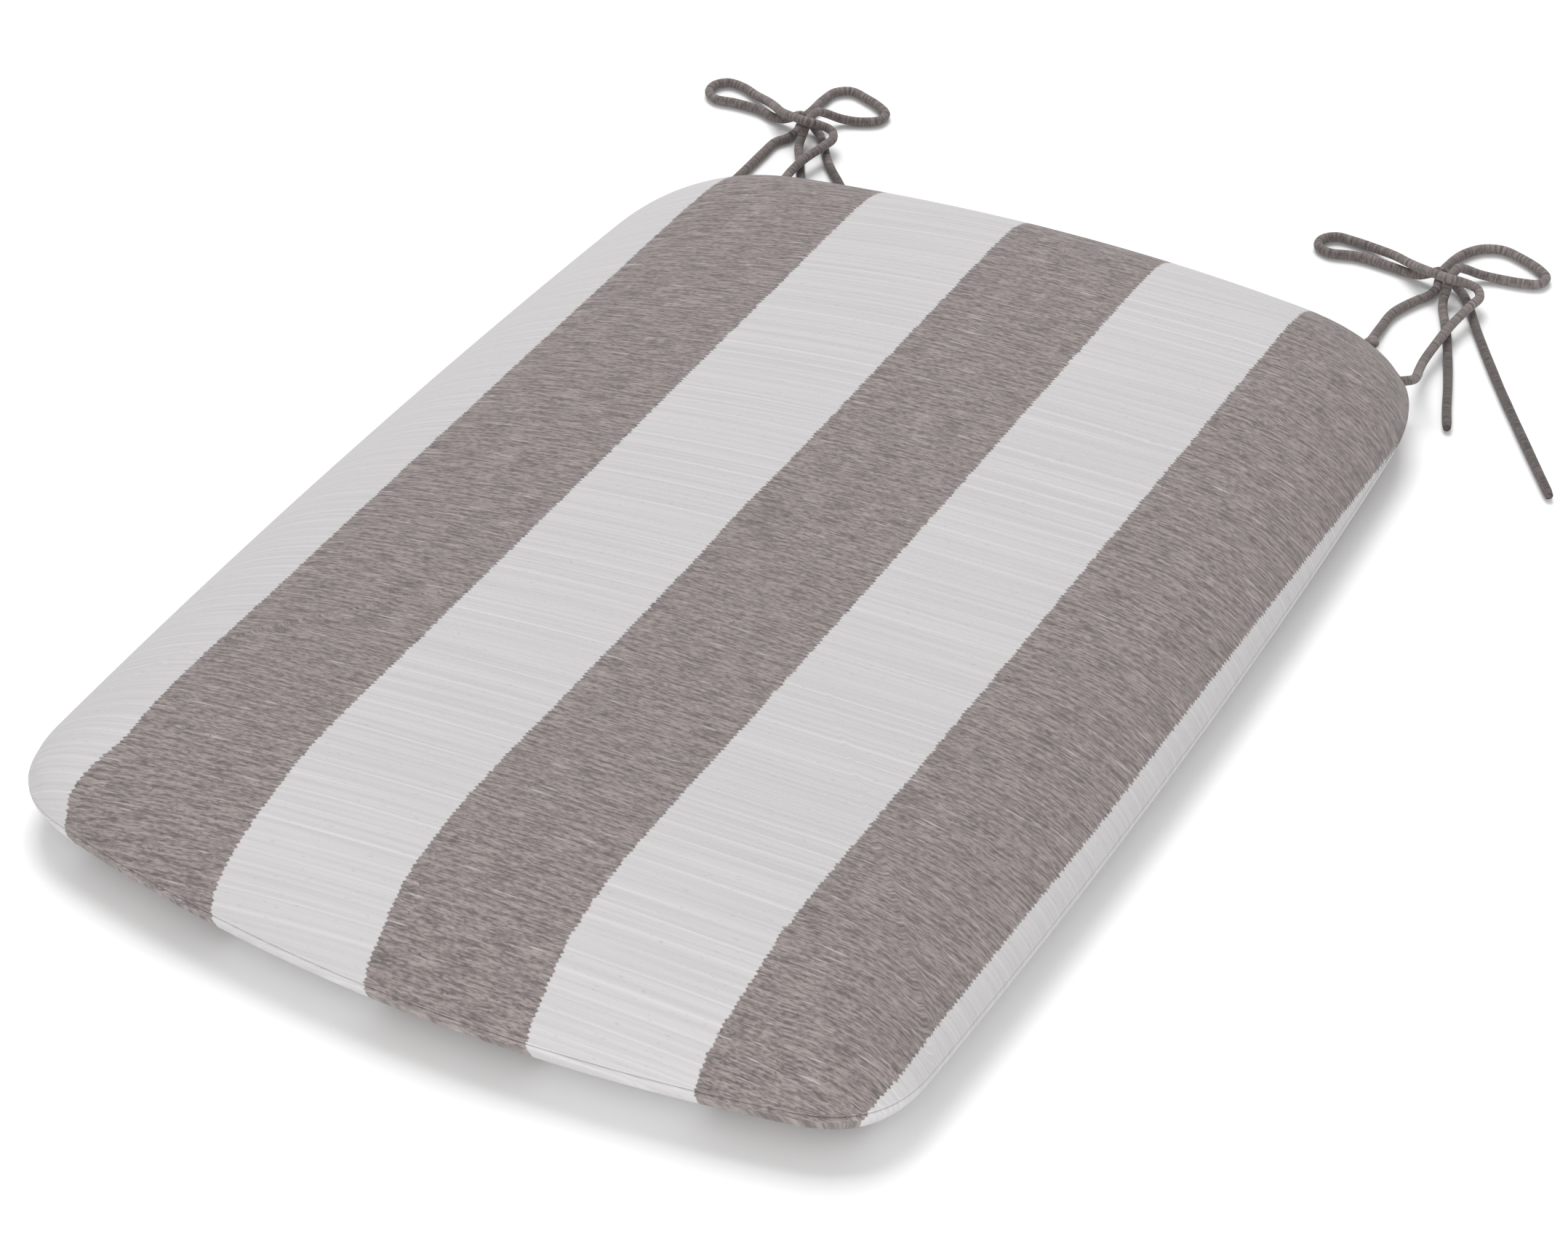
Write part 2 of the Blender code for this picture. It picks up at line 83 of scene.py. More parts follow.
@dataclass(frozen=True)
class PadSizes:
    """Heights of the cover, and the insets over which it curves in from its seam."""

    seam_height: float = 0.0185
    crown_height: float = 0.0465
    top_roll: float = 0.0660
    front_roll: float = 0.0800
    back_roll: float = 0.0440
    under_roll: float = 0.0300
    top_fullness: float = 0.65
    front_fullness: float = 0.58
    back_fullness: float = 0.95
    groove_depth: float = 0.0007
    groove_lip: float = 0.0007
    swelling: float = 0.0009
    least_swelling: float = 0.0005
    least_swelling_rise: float = 0.0120
    front_swell: float = 0.0010
    middle_sag: float = 0.0004
    corner_softness: float = 0.40
    cloth_mass: float = 0.25
    cloth_stretch: float = 20.0
    cloth_bending: float = 4.0
    cloth_quality: int = 6
    pressure: float = 4.0
    frames: int = 20


@dataclass(frozen=True)
class TieSizes:
    """The round fabric ties."""

    diameter: float = 0.0042
    root_gap: float = 0.0003
    root_depth: float = 0.0012
    root_run: float = 0.0040
    step: float = 0.0009
    sides: int = 18
    end_pinch: float = 0.0045
    rib_pitch: float = 0.0016
    rib_depth: float = 0.00004
    # Painted shade on the tails: how much darker their cloth is made, and over what length past the knot it
    # sets in.
    tail_painted_shade: float = 0.75
    tail_fade: float = 0.0080
    cap_inset: float = 0.16


@dataclass(frozen=True)
class StripeSizes:
    """Dark stripes of the cloth, each from one x to another, and how ragged their edges are."""

    dark: tuple[tuple[float, float], ...] = (
        (-0.1433, -0.0766), (-0.0116, 0.0549), (0.1214, 0.1844))
    softness: float = 0.00030
    tooth_pitch: float = 0.0019
    tooth_depth: float = 0.00045


class Strand(Enum):
    """The two ties of a bow: the leg of OUTER comes in on the right, and its loop is the left one."""

    OUTER = "outer"
    INNER = "inner"


class Coordinates(Enum):
    """Where a material reads its place on the cloth."""

    CLOTH = "cloth"
    OBJECT = "object"


@dataclass(frozen=True)
class StrandRoute:
    """Chosen points of one tie, in its bow's own frame: leg, loop and tail."""

    root: float
    leg: tuple[Point, ...]
    loop: tuple[Point, ...]
    tail: tuple[Point, ...]


@dataclass(frozen=True)
class BowRoute:
    """One bow: its side, the floor point under its knot from the pad's corner, and its two ties."""

    side: int
    knot: tuple[float, float]
    strands: dict[Strand, StrandRoute]


BOW_HEADING = math.radians(29.2)

KNOT_IN: dict[Strand, tuple[Point, ...]] = {
    Strand.OUTER: (
        (0.0125, 0.0155, 0.0076), (0.0118, 0.0103, 0.0086), (0.0060, 0.0082, 0.0104),
        (0.0000, 0.0083, 0.0124), (-0.0060, 0.0024, 0.0113), (-0.0110, -0.0049, 0.0093),
    ),
    Strand.INNER: (
        (-0.0140, 0.0105, 0.0025), (-0.0080, 0.0065, 0.0025), (-0.0040, 0.0010, 0.0024),
        (-0.0023, -0.0050, 0.0024), (-0.0005, -0.0110, 0.0027), (0.0035, -0.0170, 0.0030),
    ),
}
KNOT_OUT: dict[Strand, tuple[Point, ...]] = {
    Strand.OUTER: (
        (-0.0150, -0.0115, 0.0026), (-0.0105, -0.0086, 0.0032), (-0.0060, -0.0062, 0.0057),
        (-0.0020, -0.0046, 0.0077), (0.0015, -0.0029, 0.0063), (0.0045, 0.0006, 0.0034),
        (0.0066, 0.0046, 0.0026), (0.0078, 0.0100, 0.0025),
    ),
    Strand.INNER: (
        (0.0160, -0.0085, 0.0036), (0.0095, -0.0066, 0.0074), (0.0052, -0.0028, 0.0105),
        (0.0016, 0.0028, 0.0100), (-0.0009, 0.0084, 0.0066), (-0.0025, 0.0122, 0.0040),
        (-0.0032, 0.0165, 0.0027),
    ),
}
BOWS: dict[str, BowRoute] = {
    "left": BowRoute(
        side=-1,
        knot=(0.0150, 0.0840),
        strands={
            Strand.OUTER: StrandRoute(
                root=0.14,
                leg=(
                    (-0.0120, 0.0625, 0.0120), (-0.0102, 0.0530, 0.0084), (-0.0068, 0.0435, 0.0074),
                    (-0.0005, 0.0330, 0.0076), (0.0085, 0.0218, 0.0076),
                ),
                loop=(
                    (-0.0140, -0.0125, 0.0076), (-0.0170, -0.0205, 0.0052), (-0.0225, -0.0300, 0.0029),
                    (-0.0290, -0.0385, 0.0025), (-0.0360, -0.0425, 0.0025), (-0.0422, -0.0402, 0.0025),
                    (-0.0448, -0.0340, 0.0025), (-0.0420, -0.0280, 0.0025), (-0.0320, -0.0240, 0.0025),
                    (-0.0210, -0.0178, 0.0025),
                ),
                tail=(
                    (0.0103, 0.0285, 0.0025), (0.0140, 0.0425, 0.0025), (0.0185, 0.0560, 0.0025),
                    (0.0320, 0.0720, 0.0025), (0.0490, 0.0828, 0.0025), (0.0670, 0.0913, 0.0025),
                    (0.0850, 0.0995, 0.0025), (0.1010, 0.1070, 0.0025),
                ),
            ),
            Strand.INNER: StrandRoute(
                root=0.36,
                leg=(
                    (-0.0370, 0.0620, 0.0105), (-0.0365, 0.0530, 0.0044), (-0.0325, 0.0435, 0.0025),
                    (-0.0255, 0.0310, 0.0025), (-0.0190, 0.0190, 0.0025),
                ),
                loop=(
                    (0.0080, -0.0260, 0.0025), (0.0140, -0.0335, 0.0025), (0.0215, -0.0345, 0.0025),
                    (0.0290, -0.0275, 0.0025), (0.0346, -0.0202, 0.0025), (0.0372, -0.0136, 0.0025),
                    (0.0342, -0.0086, 0.0025), (0.0285, -0.0074, 0.0025), (0.0225, -0.0078, 0.0025),
                ),
                tail=(
                    (-0.0026, 0.0260, 0.0025), (-0.0024, 0.0390, 0.0025), (-0.0010, 0.0510, 0.0025),
                    (0.0030, 0.0625, 0.0025), (0.0110, 0.0715, 0.0025), (0.0220, 0.0770, 0.0025),
                    (0.0330, 0.0810, 0.0025),
                ),
            ),
        },
    ),
    "right": BowRoute(
        side=1,
        knot=(-0.0315, 0.0855),
        strands={
            Strand.OUTER: StrandRoute(
                root=0.52,
                leg=(
                    (-0.0233, 0.0855, 0.0152), (-0.0210, 0.0750, 0.0100), (-0.0170, 0.0630, 0.0073),
                    (-0.0100, 0.0500, 0.0075), (-0.0020, 0.0360, 0.0073), (0.0080, 0.0220, 0.0076),
                ),
                loop=(
                    (-0.0150, -0.0115, 0.0076), (-0.0200, -0.0200, 0.0058), (-0.0275, -0.0300, 0.0032),
                    (-0.0360, -0.0370, 0.0025), (-0.0435, -0.0405, 0.0025), (-0.0500, -0.0385, 0.0025),
                    (-0.0522, -0.0330, 0.0025), (-0.0485, -0.0280, 0.0025), (-0.0360, -0.0248, 0.0025),
                    (-0.0220, -0.0165, 0.0025),
                ),
                tail=(
                    (0.0086, 0.0200, 0.0025), (0.0096, 0.0360, 0.0025), (0.0116, 0.0580, 0.0025),
                    (0.0142, 0.0820, 0.0025), (0.0173, 0.1060, 0.0025), (0.0205, 0.1300, 0.0025),
                    (0.0238, 0.1540, 0.0025),
                ),
            ),
            Strand.INNER: StrandRoute(
                root=0.22,
                leg=(
                    (-0.0392, 0.0610, 0.0158), (-0.0398, 0.0520, 0.0088), (-0.0370, 0.0430, 0.0041),
                    (-0.0315, 0.0310, 0.0025), (-0.0250, 0.0200, 0.0025),
                ),
                loop=(
                    (0.0110, -0.0260, 0.0025), (0.0200, -0.0305, 0.0025), (0.0290, -0.0295, 0.0025),
                    (0.0370, -0.0220, 0.0025), (0.0433, -0.0130, 0.0025), (0.0450, -0.0070, 0.0025),
                    (0.0413, -0.0025, 0.0025), (0.0330, -0.0035, 0.0025), (0.0235, -0.0068, 0.0025),
                ),
                tail=(
                    (-0.0036, 0.0280, 0.0025), (-0.0044, 0.0420, 0.0025), (-0.0060, 0.0580, 0.0025),
                    (-0.0082, 0.0760, 0.0025), (-0.0106, 0.0920, 0.0025), (-0.0122, 0.1060, 0.0025),
                ),
            ),
        },
    ),
}


# ---------------------------------------------------------------- outline
def crossing(first: Vector, first_way: Vector, second: Vector, second_way: Vector) -> Vector:
    """Find where two lines in the plane cross.

    Args:
        first: A point on the first line.
        first_way: The first line's direction.
        second: A point on the second line.
        second_way: The second line's direction.

    Returns:
        The point on both lines.
    """
    gap = second - first
    cross = first_way.x * second_way.y - first_way.y * second_way.x
    return first + first_way * ((gap.x * second_way.y - gap.y * second_way.x) / cross)


class SeamOutline:
    """The closed curve along which the cover's two panels are sewn."""

    def __init__(self, sizes: OutlineSizes) -> None:
        """Work out the edges, the corners and the centre.

        Args:
            sizes: The outline's sizes.
        """
        self.sizes = sizes
        half = sizes.length / 2.0
        self.apexes = (
            Vector((-sizes.front_width / 2.0, -half)),
            Vector((sizes.front_width / 2.0, -half)),
            Vector((sizes.back_width / 2.0, half + sizes.back_skew / 2.0)),
            Vector((-sizes.back_width / 2.0, half - sizes.back_skew / 2.0)),
        )
        self.edges = self._edges()
        self.corners = self._corners()
        raw = self._raw(5, 8)
        low, high = raw.min(axis=0), raw.max(axis=0)
        self.centre = Vector(((low + high) / 2.0).tolist())
        self.half_width = sizes.front_width / 2.0

    def _edges(self) -> list[tuple[Vector, Vector, float, float, float]]:
        """Each edge as start, end, bow, and the first and last fraction that corners leave."""
        size = self.sizes
        bows = (size.front_bow, size.side_bow, size.back_bow, size.side_bow)
        taken = (size.front_corner, size.front_corner, size.back_corner, size.back_corner)
        edges = []
        for index in range(4):
            start, end = self.apexes[index], self.apexes[(index + 1) % 4]
            length = (end - start).length
            edges.append((start, end, bows[index], taken[index] / length,
                          1.0 - taken[(index + 1) % 4] / length))
        return edges

    @staticmethod
    def _on_edge(edge: tuple[Vector, Vector, float, float, float], fraction: float) -> Vector:
        """A point on a bowed edge."""
        start, end, bow, _, _ = edge
        along = end - start
        outward = Vector((along.y, -along.x)).normalized()
        return start + along * fraction + outward * bow * 4.0 * fraction * (1.0 - fraction)

    def _corners(self) -> list[tuple[Vector, Vector, Vector]]:
        """Each corner as the point before it, its apex and the point after it."""
        corners = []
        for index in range(4):
            here, following = self.edges[index], self.edges[(index + 1) % 4]
            before = self._on_edge(here, here[4])
            after = self._on_edge(following, following[3])
            way_in = self._on_edge(here, here[4] + 0.01) - before
            way_out = self._on_edge(following, following[3] - 0.01) - after
            corners.append((before, crossing(before, way_in, after, way_out), after))
        return corners

    def _on_corner(self, index: int, fraction: float) -> Vector:
        """A point on a corner's cubic curve."""
        before, apex, after = self.corners[index]
        handle_in = before.lerp(apex, self.sizes.corner_fullness)
        handle_out = after.lerp(apex, self.sizes.corner_fullness)
        rest = 1.0 - fraction
        return (before * rest ** 3 + handle_in * 3.0 * rest ** 2 * fraction
                + handle_out * 3.0 * rest * fraction ** 2 + after * fraction ** 3)

    def _raw(self, edge_steps: int, corner_steps: int) -> np.ndarray:
        """Points round the outline before it is centred."""
        points = []
        for index, edge in enumerate(self.edges):
            for step in range(edge_steps):
                points.append(self._on_edge(edge, edge[3] + (edge[4] - edge[3]) * step / edge_steps))
            for step in range(corner_steps):
                points.append(self._on_corner(index, step / corner_steps))
        return np.array([tuple(point) for point in points])

    def points(self) -> np.ndarray:
        """Points round the seam, anticlockwise, centred on the origin."""
        raw = self._raw(self.sizes.edge_steps, self.sizes.corner_steps)
        return raw - np.array(self.centre)

    def root(self, side: int, fraction: float) -> tuple[Vector, Vector]:
        """Find where a tie leaves the seam on a back corner.

        Args:
            side: 1 for the right corner, -1 for the left one.
            fraction: 0 at the back edge to 1 at the side edge.

        Returns:
            The place and the outward direction, in the plane.
        """
        index = 1 if side > 0 else 2
        share = 1.0 - fraction if side > 0 else fraction
        along = self._on_corner(index, share + 0.01) - self._on_corner(index, share - 0.01)
        return (self._on_corner(index, share) - self.centre,
                Vector((along.y, -along.x)).normalized())

    def corner_apex(self, side: int) -> Vector:
        """The sharp back corner on one side, centred as the outline is."""
        return self.apexes[2 if side > 0 else 3] - self.centre


# ---------------------------------------------------------------- nodes
class NodeBuilder:
    """Adds nodes to a tree, one below another, and links them."""

    def __init__(self, tree: bpy.types.NodeTree) -> None:
        """Start with a tree.

        Args:
            tree: A material's tree or a shader group.
        """
        self.tree = tree
        self.count = 0

    def add(self, kind: str, **settings: object) -> bpy.types.Node:
        """Add a node and set its properties."""
        node = self.tree.nodes.new(kind)
        node.location = (180.0 * (self.count // 6), -220.0 * (self.count % 6))
        self.count += 1
        for name, value in settings.items():
            setattr(node, name, value)
        return node

    def link(self, source: bpy.types.NodeSocket, target: bpy.types.NodeSocket) -> None:
        """Link two sockets."""
        self.tree.links.new(source, target)

    def feed(self, socket: bpy.types.NodeSocket, value: object) -> None:
        """Link a socket, or set its value where a number or colour is given."""
        if isinstance(value, bpy.types.NodeSocket):
            self.link(value, socket)
        else:
            socket.default_value = value

    def math(self, operation: str, *values: object, clamp: bool = False) -> bpy.types.NodeSocket:
        """Do arithmetic on one to three values."""
        node = self.add("ShaderNodeMath", operation=operation, use_clamp=clamp)
        for socket, value in zip(node.inputs, values):
            self.feed(socket, value)
        return node.outputs[0]

    def scale(self, vector: object, factors: Sequence[float]) -> bpy.types.NodeSocket:
        """Multiply a vector by three factors."""
        node = self.add("ShaderNodeVectorMath", operation="MULTIPLY")
        self.feed(node.inputs[0], vector)
        node.inputs[1].default_value = factors
        return node.outputs[0]

    def noise(self, vector: object, detail: float = 2.0, roughness: float = 0.5) -> bpy.types.NodeSocket:
        """A noise between about 0 and 1 at unit scale."""
        node = self.add("ShaderNodeTexNoise")
        self.feed(node.inputs["Vector"], vector)
        node.inputs["Scale"].default_value = 1.0
        node.inputs["Detail"].default_value = detail
        node.inputs["Roughness"].default_value = roughness
        return node.outputs["Fac"]

    def ramp(self, value: object, low: float, high: float, start: float = 0.0,
             end: float = 1.0) -> bpy.types.NodeSocket:
        """Map a value smoothly from one range to another."""
        node = self.add("ShaderNodeMapRange", interpolation_type="SMOOTHSTEP")
        self.feed(node.inputs["Value"], value)
        for name, number in (("From Min", low), ("From Max", high), ("To Min", start), ("To Max", end)):
            node.inputs[name].default_value = number
        return node.outputs["Result"]

    def grey(self, value: object) -> bpy.types.NodeSocket:
        """Turn a number into a grey colour."""
        node = self.add("ShaderNodeCombineColor")
        for socket in node.inputs:
            self.feed(socket, value)
        return node.outputs[0]

    def mix(self, share: object, first: object, second: object, blend: str = "MIX") -> bpy.types.NodeSocket:
        """Mix two colours."""
        node = self.add("ShaderNodeMix", data_type="RGBA", blend_type=blend)
        self.feed(node.inputs[0], share)
        self.feed(node.inputs[6], first)
        self.feed(node.inputs[7], second)
        return node.outputs[2]


@dataclass(frozen=True)
class ClothFinish:
    """Colours and surface of a woven cloth."""

    light: Colour = (0.472, 0.460, 0.465, 1.0)
    dark: Colour = (0.197, 0.170, 0.164, 1.0)
    slub: Colour = (0.400, 0.372, 0.365, 1.0)
    pit: Colour = (0.085, 0.070, 0.068, 1.0)
    fleck: Colour = (0.300, 0.290, 0.292, 1.0)
    tie_tint: Colour = (0.78, 0.77, 0.76, 1.0)
    # The colour by which painted shade darkens the cloth.
    painted_shade_tint: Colour = (0.42, 0.41, 0.41, 1.0)
    roughness: float = 0.92
    sheen: float = 0.12
    sheen_roughness: float = 0.6


class ShaderGroups:
    """Effects that more than one material uses, each built once."""

    def __init__(self, finish: ClothFinish, stripes: StripeSizes) -> None:
        """Build every group.

        Args:
            finish: The cloth's colours.
            stripes: The stripes' places.
        """
        self.finish = finish
        self.stripes = stripes
        self.heather = self._build("heather_yarn", ("Cloth",), ("Colour",), self._heather)
        self.plain = self._build("plain_yarn", ("Cloth",), ("Colour",), self._plain)
        self.weave = self._build("weave_height", ("Cloth",), ("Height",), self._weave)
        self.mask = self._build("stripe_mask", ("Cloth",), ("Dark",), self._mask)

    @staticmethod
    def _build(name: str, inputs: Sequence[str], outputs: Sequence[str],
               fill: Callable[[NodeBuilder, bpy.types.Node], dict[str, bpy.types.NodeSocket]],
               ) -> bpy.types.NodeTree:
        """Make one group with vector inputs and colour or number outputs."""
        tree = bpy.data.node_groups.new(name, "ShaderNodeTree")
        for text in inputs:
            tree.interface.new_socket(name=text, in_out="INPUT", socket_type="NodeSocketVector")
        for text in outputs:
            kind = "NodeSocketColor" if text == "Colour" else "NodeSocketFloat"
            tree.interface.new_socket(name=text, in_out="OUTPUT", socket_type=kind)
        build = NodeBuilder(tree)
        entry = build.add("NodeGroupInput")
        results = fill(build, entry)
        leave = build.add("NodeGroupOutput")
        for text, socket in results.items():
            build.link(socket, leave.inputs[text])
        return tree

    def _heather(self, build: NodeBuilder, entry: bpy.types.Node) -> dict[str, bpy.types.NodeSocket]:
        """Dark marled yarn: streaks along the weft, pale slubs and small dark pits."""
        cloth = entry.outputs["Cloth"]
        streak = build.noise(build.scale(cloth, (75.0, 720.0, 0.0)), 4.0, 0.70)
        short = build.noise(build.scale(cloth, (360.0, 1350.0, 5.0)), 1.0, 0.5)
        tone = build.math("ADD", build.math("MULTIPLY", streak, 0.64), build.math("MULTIPLY", short, 0.36))
        lift = build.ramp(tone, 0.36, 0.64, 0.54, 1.48)
        base = build.mix(1.0, self.finish.dark, build.grey(lift), "MULTIPLY")
        slub = build.noise(build.scale(cloth, (60.0, 850.0, 20.0)), 2.0, 0.5)
        slub = build.math("MULTIPLY", build.ramp(slub, 0.63, 0.74), 0.85)
        base = build.mix(slub, base, self.finish.slub)
        pits = build.noise(build.scale(cloth, (520.0, 800.0, 40.0)), 1.0, 0.5)
        gate = build.noise(build.scale(cloth, (90.0, 420.0, 60.0)), 1.0, 0.5)
        pits = build.math("MULTIPLY", build.ramp(pits, 0.56, 0.72), build.ramp(gate, 0.48, 0.62))
        return {"Colour": build.mix(build.math("MULTIPLY", pits, 0.65), base, self.finish.pit)}

    def _plain(self, build: NodeBuilder, entry: bpy.types.Node) -> dict[str, bpy.types.NodeSocket]:
        """Pale yarn: fine bands and thicker bright picks along the weft, and sparse grey flecks."""
        cloth = entry.outputs["Cloth"]
        band = build.noise(build.scale(cloth, (6.0, 620.0, 0.0)), 2.0, 0.6)
        lift = build.ramp(band, 0.32, 0.68, 0.945, 1.050)
        pick = build.noise(build.scale(cloth, (5.0, 120.0, 7.0)), 0.0, 0.5)
        split = build.add("ShaderNodeSeparateXYZ")
        build.link(cloth, split.inputs[0])
        place = build.math("ADD", build.math("DIVIDE", split.outputs["Y"], 0.0075),
                           build.math("MULTIPLY", pick, 0.3))
        wave = build.math("PINGPONG", place, 0.5)
        line = build.math("MULTIPLY", build.ramp(wave, 0.42, 0.47), build.ramp(pick, 0.30, 0.55, 0.4, 1.0))
        lift = build.math("ADD", lift, build.math("MULTIPLY", line, 0.085))
        base = build.mix(1.0, self.finish.light, build.grey(lift), "MULTIPLY")
        fleck = build.noise(build.scale(cloth, (300.0, 800.0, 30.0)), 1.0, 0.5)
        fleck = build.math("MULTIPLY", build.ramp(fleck, 0.64, 0.78), 0.32)
        return {"Colour": build.mix(fleck, base, self.finish.fleck)}

    def _weave(self, build: NodeBuilder, entry: bpy.types.Node) -> dict[str, bpy.types.NodeSocket]:
        """Height of the weave: weft ribs of uneven thickness, crossed by fine warp threads."""
        cloth = entry.outputs["Cloth"]
        wander = build.noise(build.scale(cloth, (14.0, 260.0, 0.0)), 1.0, 0.5)
        split = build.add("ShaderNodeSeparateXYZ")
        build.link(cloth, split.inputs[0])
        along, across = split.outputs["X"], split.outputs["Y"]
        phase = build.math("ADD", build.math("MULTIPLY", across, math.tau / 0.00095),
                           build.math("MULTIPLY", wander, 5.0))
        rib = build.math("MULTIPLY_ADD", build.math("SINE", phase), 0.5, 0.5)
        wide = build.math("MULTIPLY_ADD", build.math("SINE", build.math(
            "ADD", build.math("MULTIPLY", across, math.tau / 0.0019), build.math("MULTIPLY", wander, 3.0))),
            0.5, 0.5)
        warp = build.math("MULTIPLY_ADD", build.math("SINE", build.math(
            "MULTIPLY", along, math.tau / 0.00065)), 0.5, 0.5)
        yarn = build.noise(build.scale(cloth, (300.0, 1600.0, 0.0)), 2.0, 0.6)
        height = build.math("ADD", build.math("MULTIPLY", rib, 0.42), build.math("MULTIPLY", wide, 0.22))
        height = build.math("ADD", height, build.math("MULTIPLY", build.math("MULTIPLY", rib, warp), 0.22))
        return {"Height": build.math("ADD", height, build.math("MULTIPLY", yarn, 0.45))}

    def _mask(self, build: NodeBuilder, entry: bpy.types.Node) -> dict[str, bpy.types.NodeSocket]:
        """1 on the dark stripes, 0 between them, with toothed edges where the weft turns."""
        cloth = entry.outputs["Cloth"]
        split = build.add("ShaderNodeSeparateXYZ")
        build.link(cloth, split.inputs[0])
        teeth = build.math("DIVIDE", split.outputs["Y"], self.stripes.tooth_pitch)
        tooth = build.math("PINGPONG", teeth, 0.5)
        stray = build.noise(build.scale(cloth, (120.0, 430.0, 0.0)), 1.0, 0.5)
        shift = build.math("MULTIPLY", build.math("SUBTRACT", tooth, 0.25), 4.0 * self.stripes.tooth_depth)
        shift = build.math("ADD", shift, build.math("MULTIPLY", build.math("SUBTRACT", stray, 0.5), 0.0022))
        place = build.math("ADD", split.outputs["X"], shift)
        total: bpy.types.NodeSocket | None = None
        soft = self.stripes.softness
        for start, end in self.stripes.dark:
            inside = build.math("SUBTRACT", build.ramp(place, start - soft, start + soft),
                                build.ramp(place, end - soft, end + soft))
            total = inside if total is None else build.math("ADD", total, inside)
        return {"Dark": total}


class Materials:
    """Every material of the scene."""

    def __init__(self) -> None:
        """Build the shared groups."""
        self.finish = ClothFinish()
        self.groups = ShaderGroups(self.finish, StripeSizes())

    @staticmethod
    def _start(name: str, roughness: float) -> tuple[bpy.types.Material, NodeBuilder, bpy.types.Node]:
        """Make a material and return it with its builder and its shader."""
        material = bpy.data.materials.new(name)
        material.use_nodes = True
        build = NodeBuilder(material.node_tree)
        shader = material.node_tree.nodes["Principled BSDF"]
        shader.inputs["Roughness"].default_value = roughness
        shader.inputs["Specular IOR Level"].default_value = 0.25
        return material, build, shader

    @staticmethod
    def _group(build: NodeBuilder, tree: bpy.types.NodeTree, cloth: object) -> bpy.types.Node:
        """Add one shared group and feed it the place on the cloth."""
        node = build.add("ShaderNodeGroup")
        node.node_tree = tree
        build.feed(node.inputs["Cloth"], cloth)
        return node

    @staticmethod
    def _place(build: NodeBuilder, source: Coordinates) -> bpy.types.NodeSocket:
        """The place on the cloth, from the mesh's own attribute or from the object."""
        if source is Coordinates.CLOTH:
            return build.add("ShaderNodeAttribute", attribute_name="cloth").outputs["Vector"]
        return build.add("ShaderNodeTexCoord").outputs["Object"]

    def _bump(self, build: NodeBuilder, shader: bpy.types.Node, height: bpy.types.NodeSocket,
              strength: float, distance: float) -> None:
        """Tilt the shader's normal by a height."""
        bump = build.add("ShaderNodeBump")
        bump.inputs["Strength"].default_value = strength
        bump.inputs["Distance"].default_value = distance
        build.link(height, bump.inputs["Height"])
        build.link(bump.outputs["Normal"], shader.inputs["Normal"])

    def _woven(self, name: str, source: Coordinates, striped: bool) -> bpy.types.Material:
        """Woven cloth, striped or dark all over, and darker where its mesh says that it is shaded."""
        material, build, shader = self._start(name, self.finish.roughness)
        cloth = self._place(build, source)
        dark = self._group(build, self.groups.heather, cloth).outputs["Colour"]
        if striped:
            light = self._group(build, self.groups.plain, cloth).outputs["Colour"]
            mask = self._group(build, self.groups.mask, cloth).outputs["Dark"]
            colour = build.mix(mask, light, dark)
        else:
            colour = build.mix(1.0, dark, self.finish.tie_tint, "MULTIPLY")
        # Painted shade: where the mesh's shade attribute marks it (the seam groove and the ties' tails), the
        # colour is darkened.
        shade = build.add("ShaderNodeAttribute", attribute_name="shade").outputs["Fac"]
        colour = build.mix(shade, colour, build.mix(1.0, colour, self.finish.painted_shade_tint, "MULTIPLY"))
        build.link(colour, shader.inputs["Base Color"])
        shader.inputs["Sheen Weight"].default_value = self.finish.sheen
        shader.inputs["Sheen Roughness"].default_value = self.finish.sheen_roughness
        height = self._group(build, self.groups.weave, cloth).outputs["Height"]
        self._bump(build, shader, height, 0.55, 0.00016)
        return material

    def striped_cloth(self, source: Coordinates) -> bpy.types.Material:
        """The cover's cloth."""
        return self._woven(f"striped_cloth_{source.value}", source, True)

    def tie_cloth(self) -> bpy.types.Material:
        """The ties' cloth."""
        return self._woven("tie_cloth", Coordinates.CLOTH, False)

    def filling(self, name: str, colour: Colour, cell: float) -> bpy.types.Material:
        """Foam or fibre: one pale colour with cells of a size."""
        material, build, shader = self._start(name, 0.95)
        place = self._place(build, Coordinates.OBJECT)
        grain = build.noise(build.scale(place, (1.0 / cell,) * 3), 3.0, 0.6)
        darker = tuple(0.86 * part for part in colour[:3]) + (1.0,)
        tone = build.mix(build.ramp(grain, 0.3, 0.7), darker, colour)
        build.link(tone, shader.inputs["Base Color"])
        self._bump(build, shader, grain, 0.6, cell * 0.4)
        return material

    def thread(self) -> bpy.types.Material:
        """Sewing thread with its twist."""
        material, build, shader = self._start("sewing_thread", 0.7)
        place = self._place(build, Coordinates.OBJECT)
        wave = build.add("ShaderNodeTexWave", bands_direction="DIAGONAL")
        build.link(build.scale(place, (900.0,) * 3), wave.inputs["Vector"])
        tone = build.mix(wave.outputs["Fac"], (0.16, 0.14, 0.14, 1.0), (0.30, 0.27, 0.26, 1.0))
        build.link(tone, shader.inputs["Base Color"])
        self._bump(build, shader, wave.outputs["Fac"], 0.5, 0.0001)
        return material

    def floor(self) -> bpy.types.Material:
        """A plain pale floor."""
        material, _, shader = self._start("pale_floor", 0.9)
        shader.inputs["Base Color"].default_value = (0.90, 0.90, 0.90, 1.0)
        shader.inputs["Specular IOR Level"].default_value = 0.0
        return material


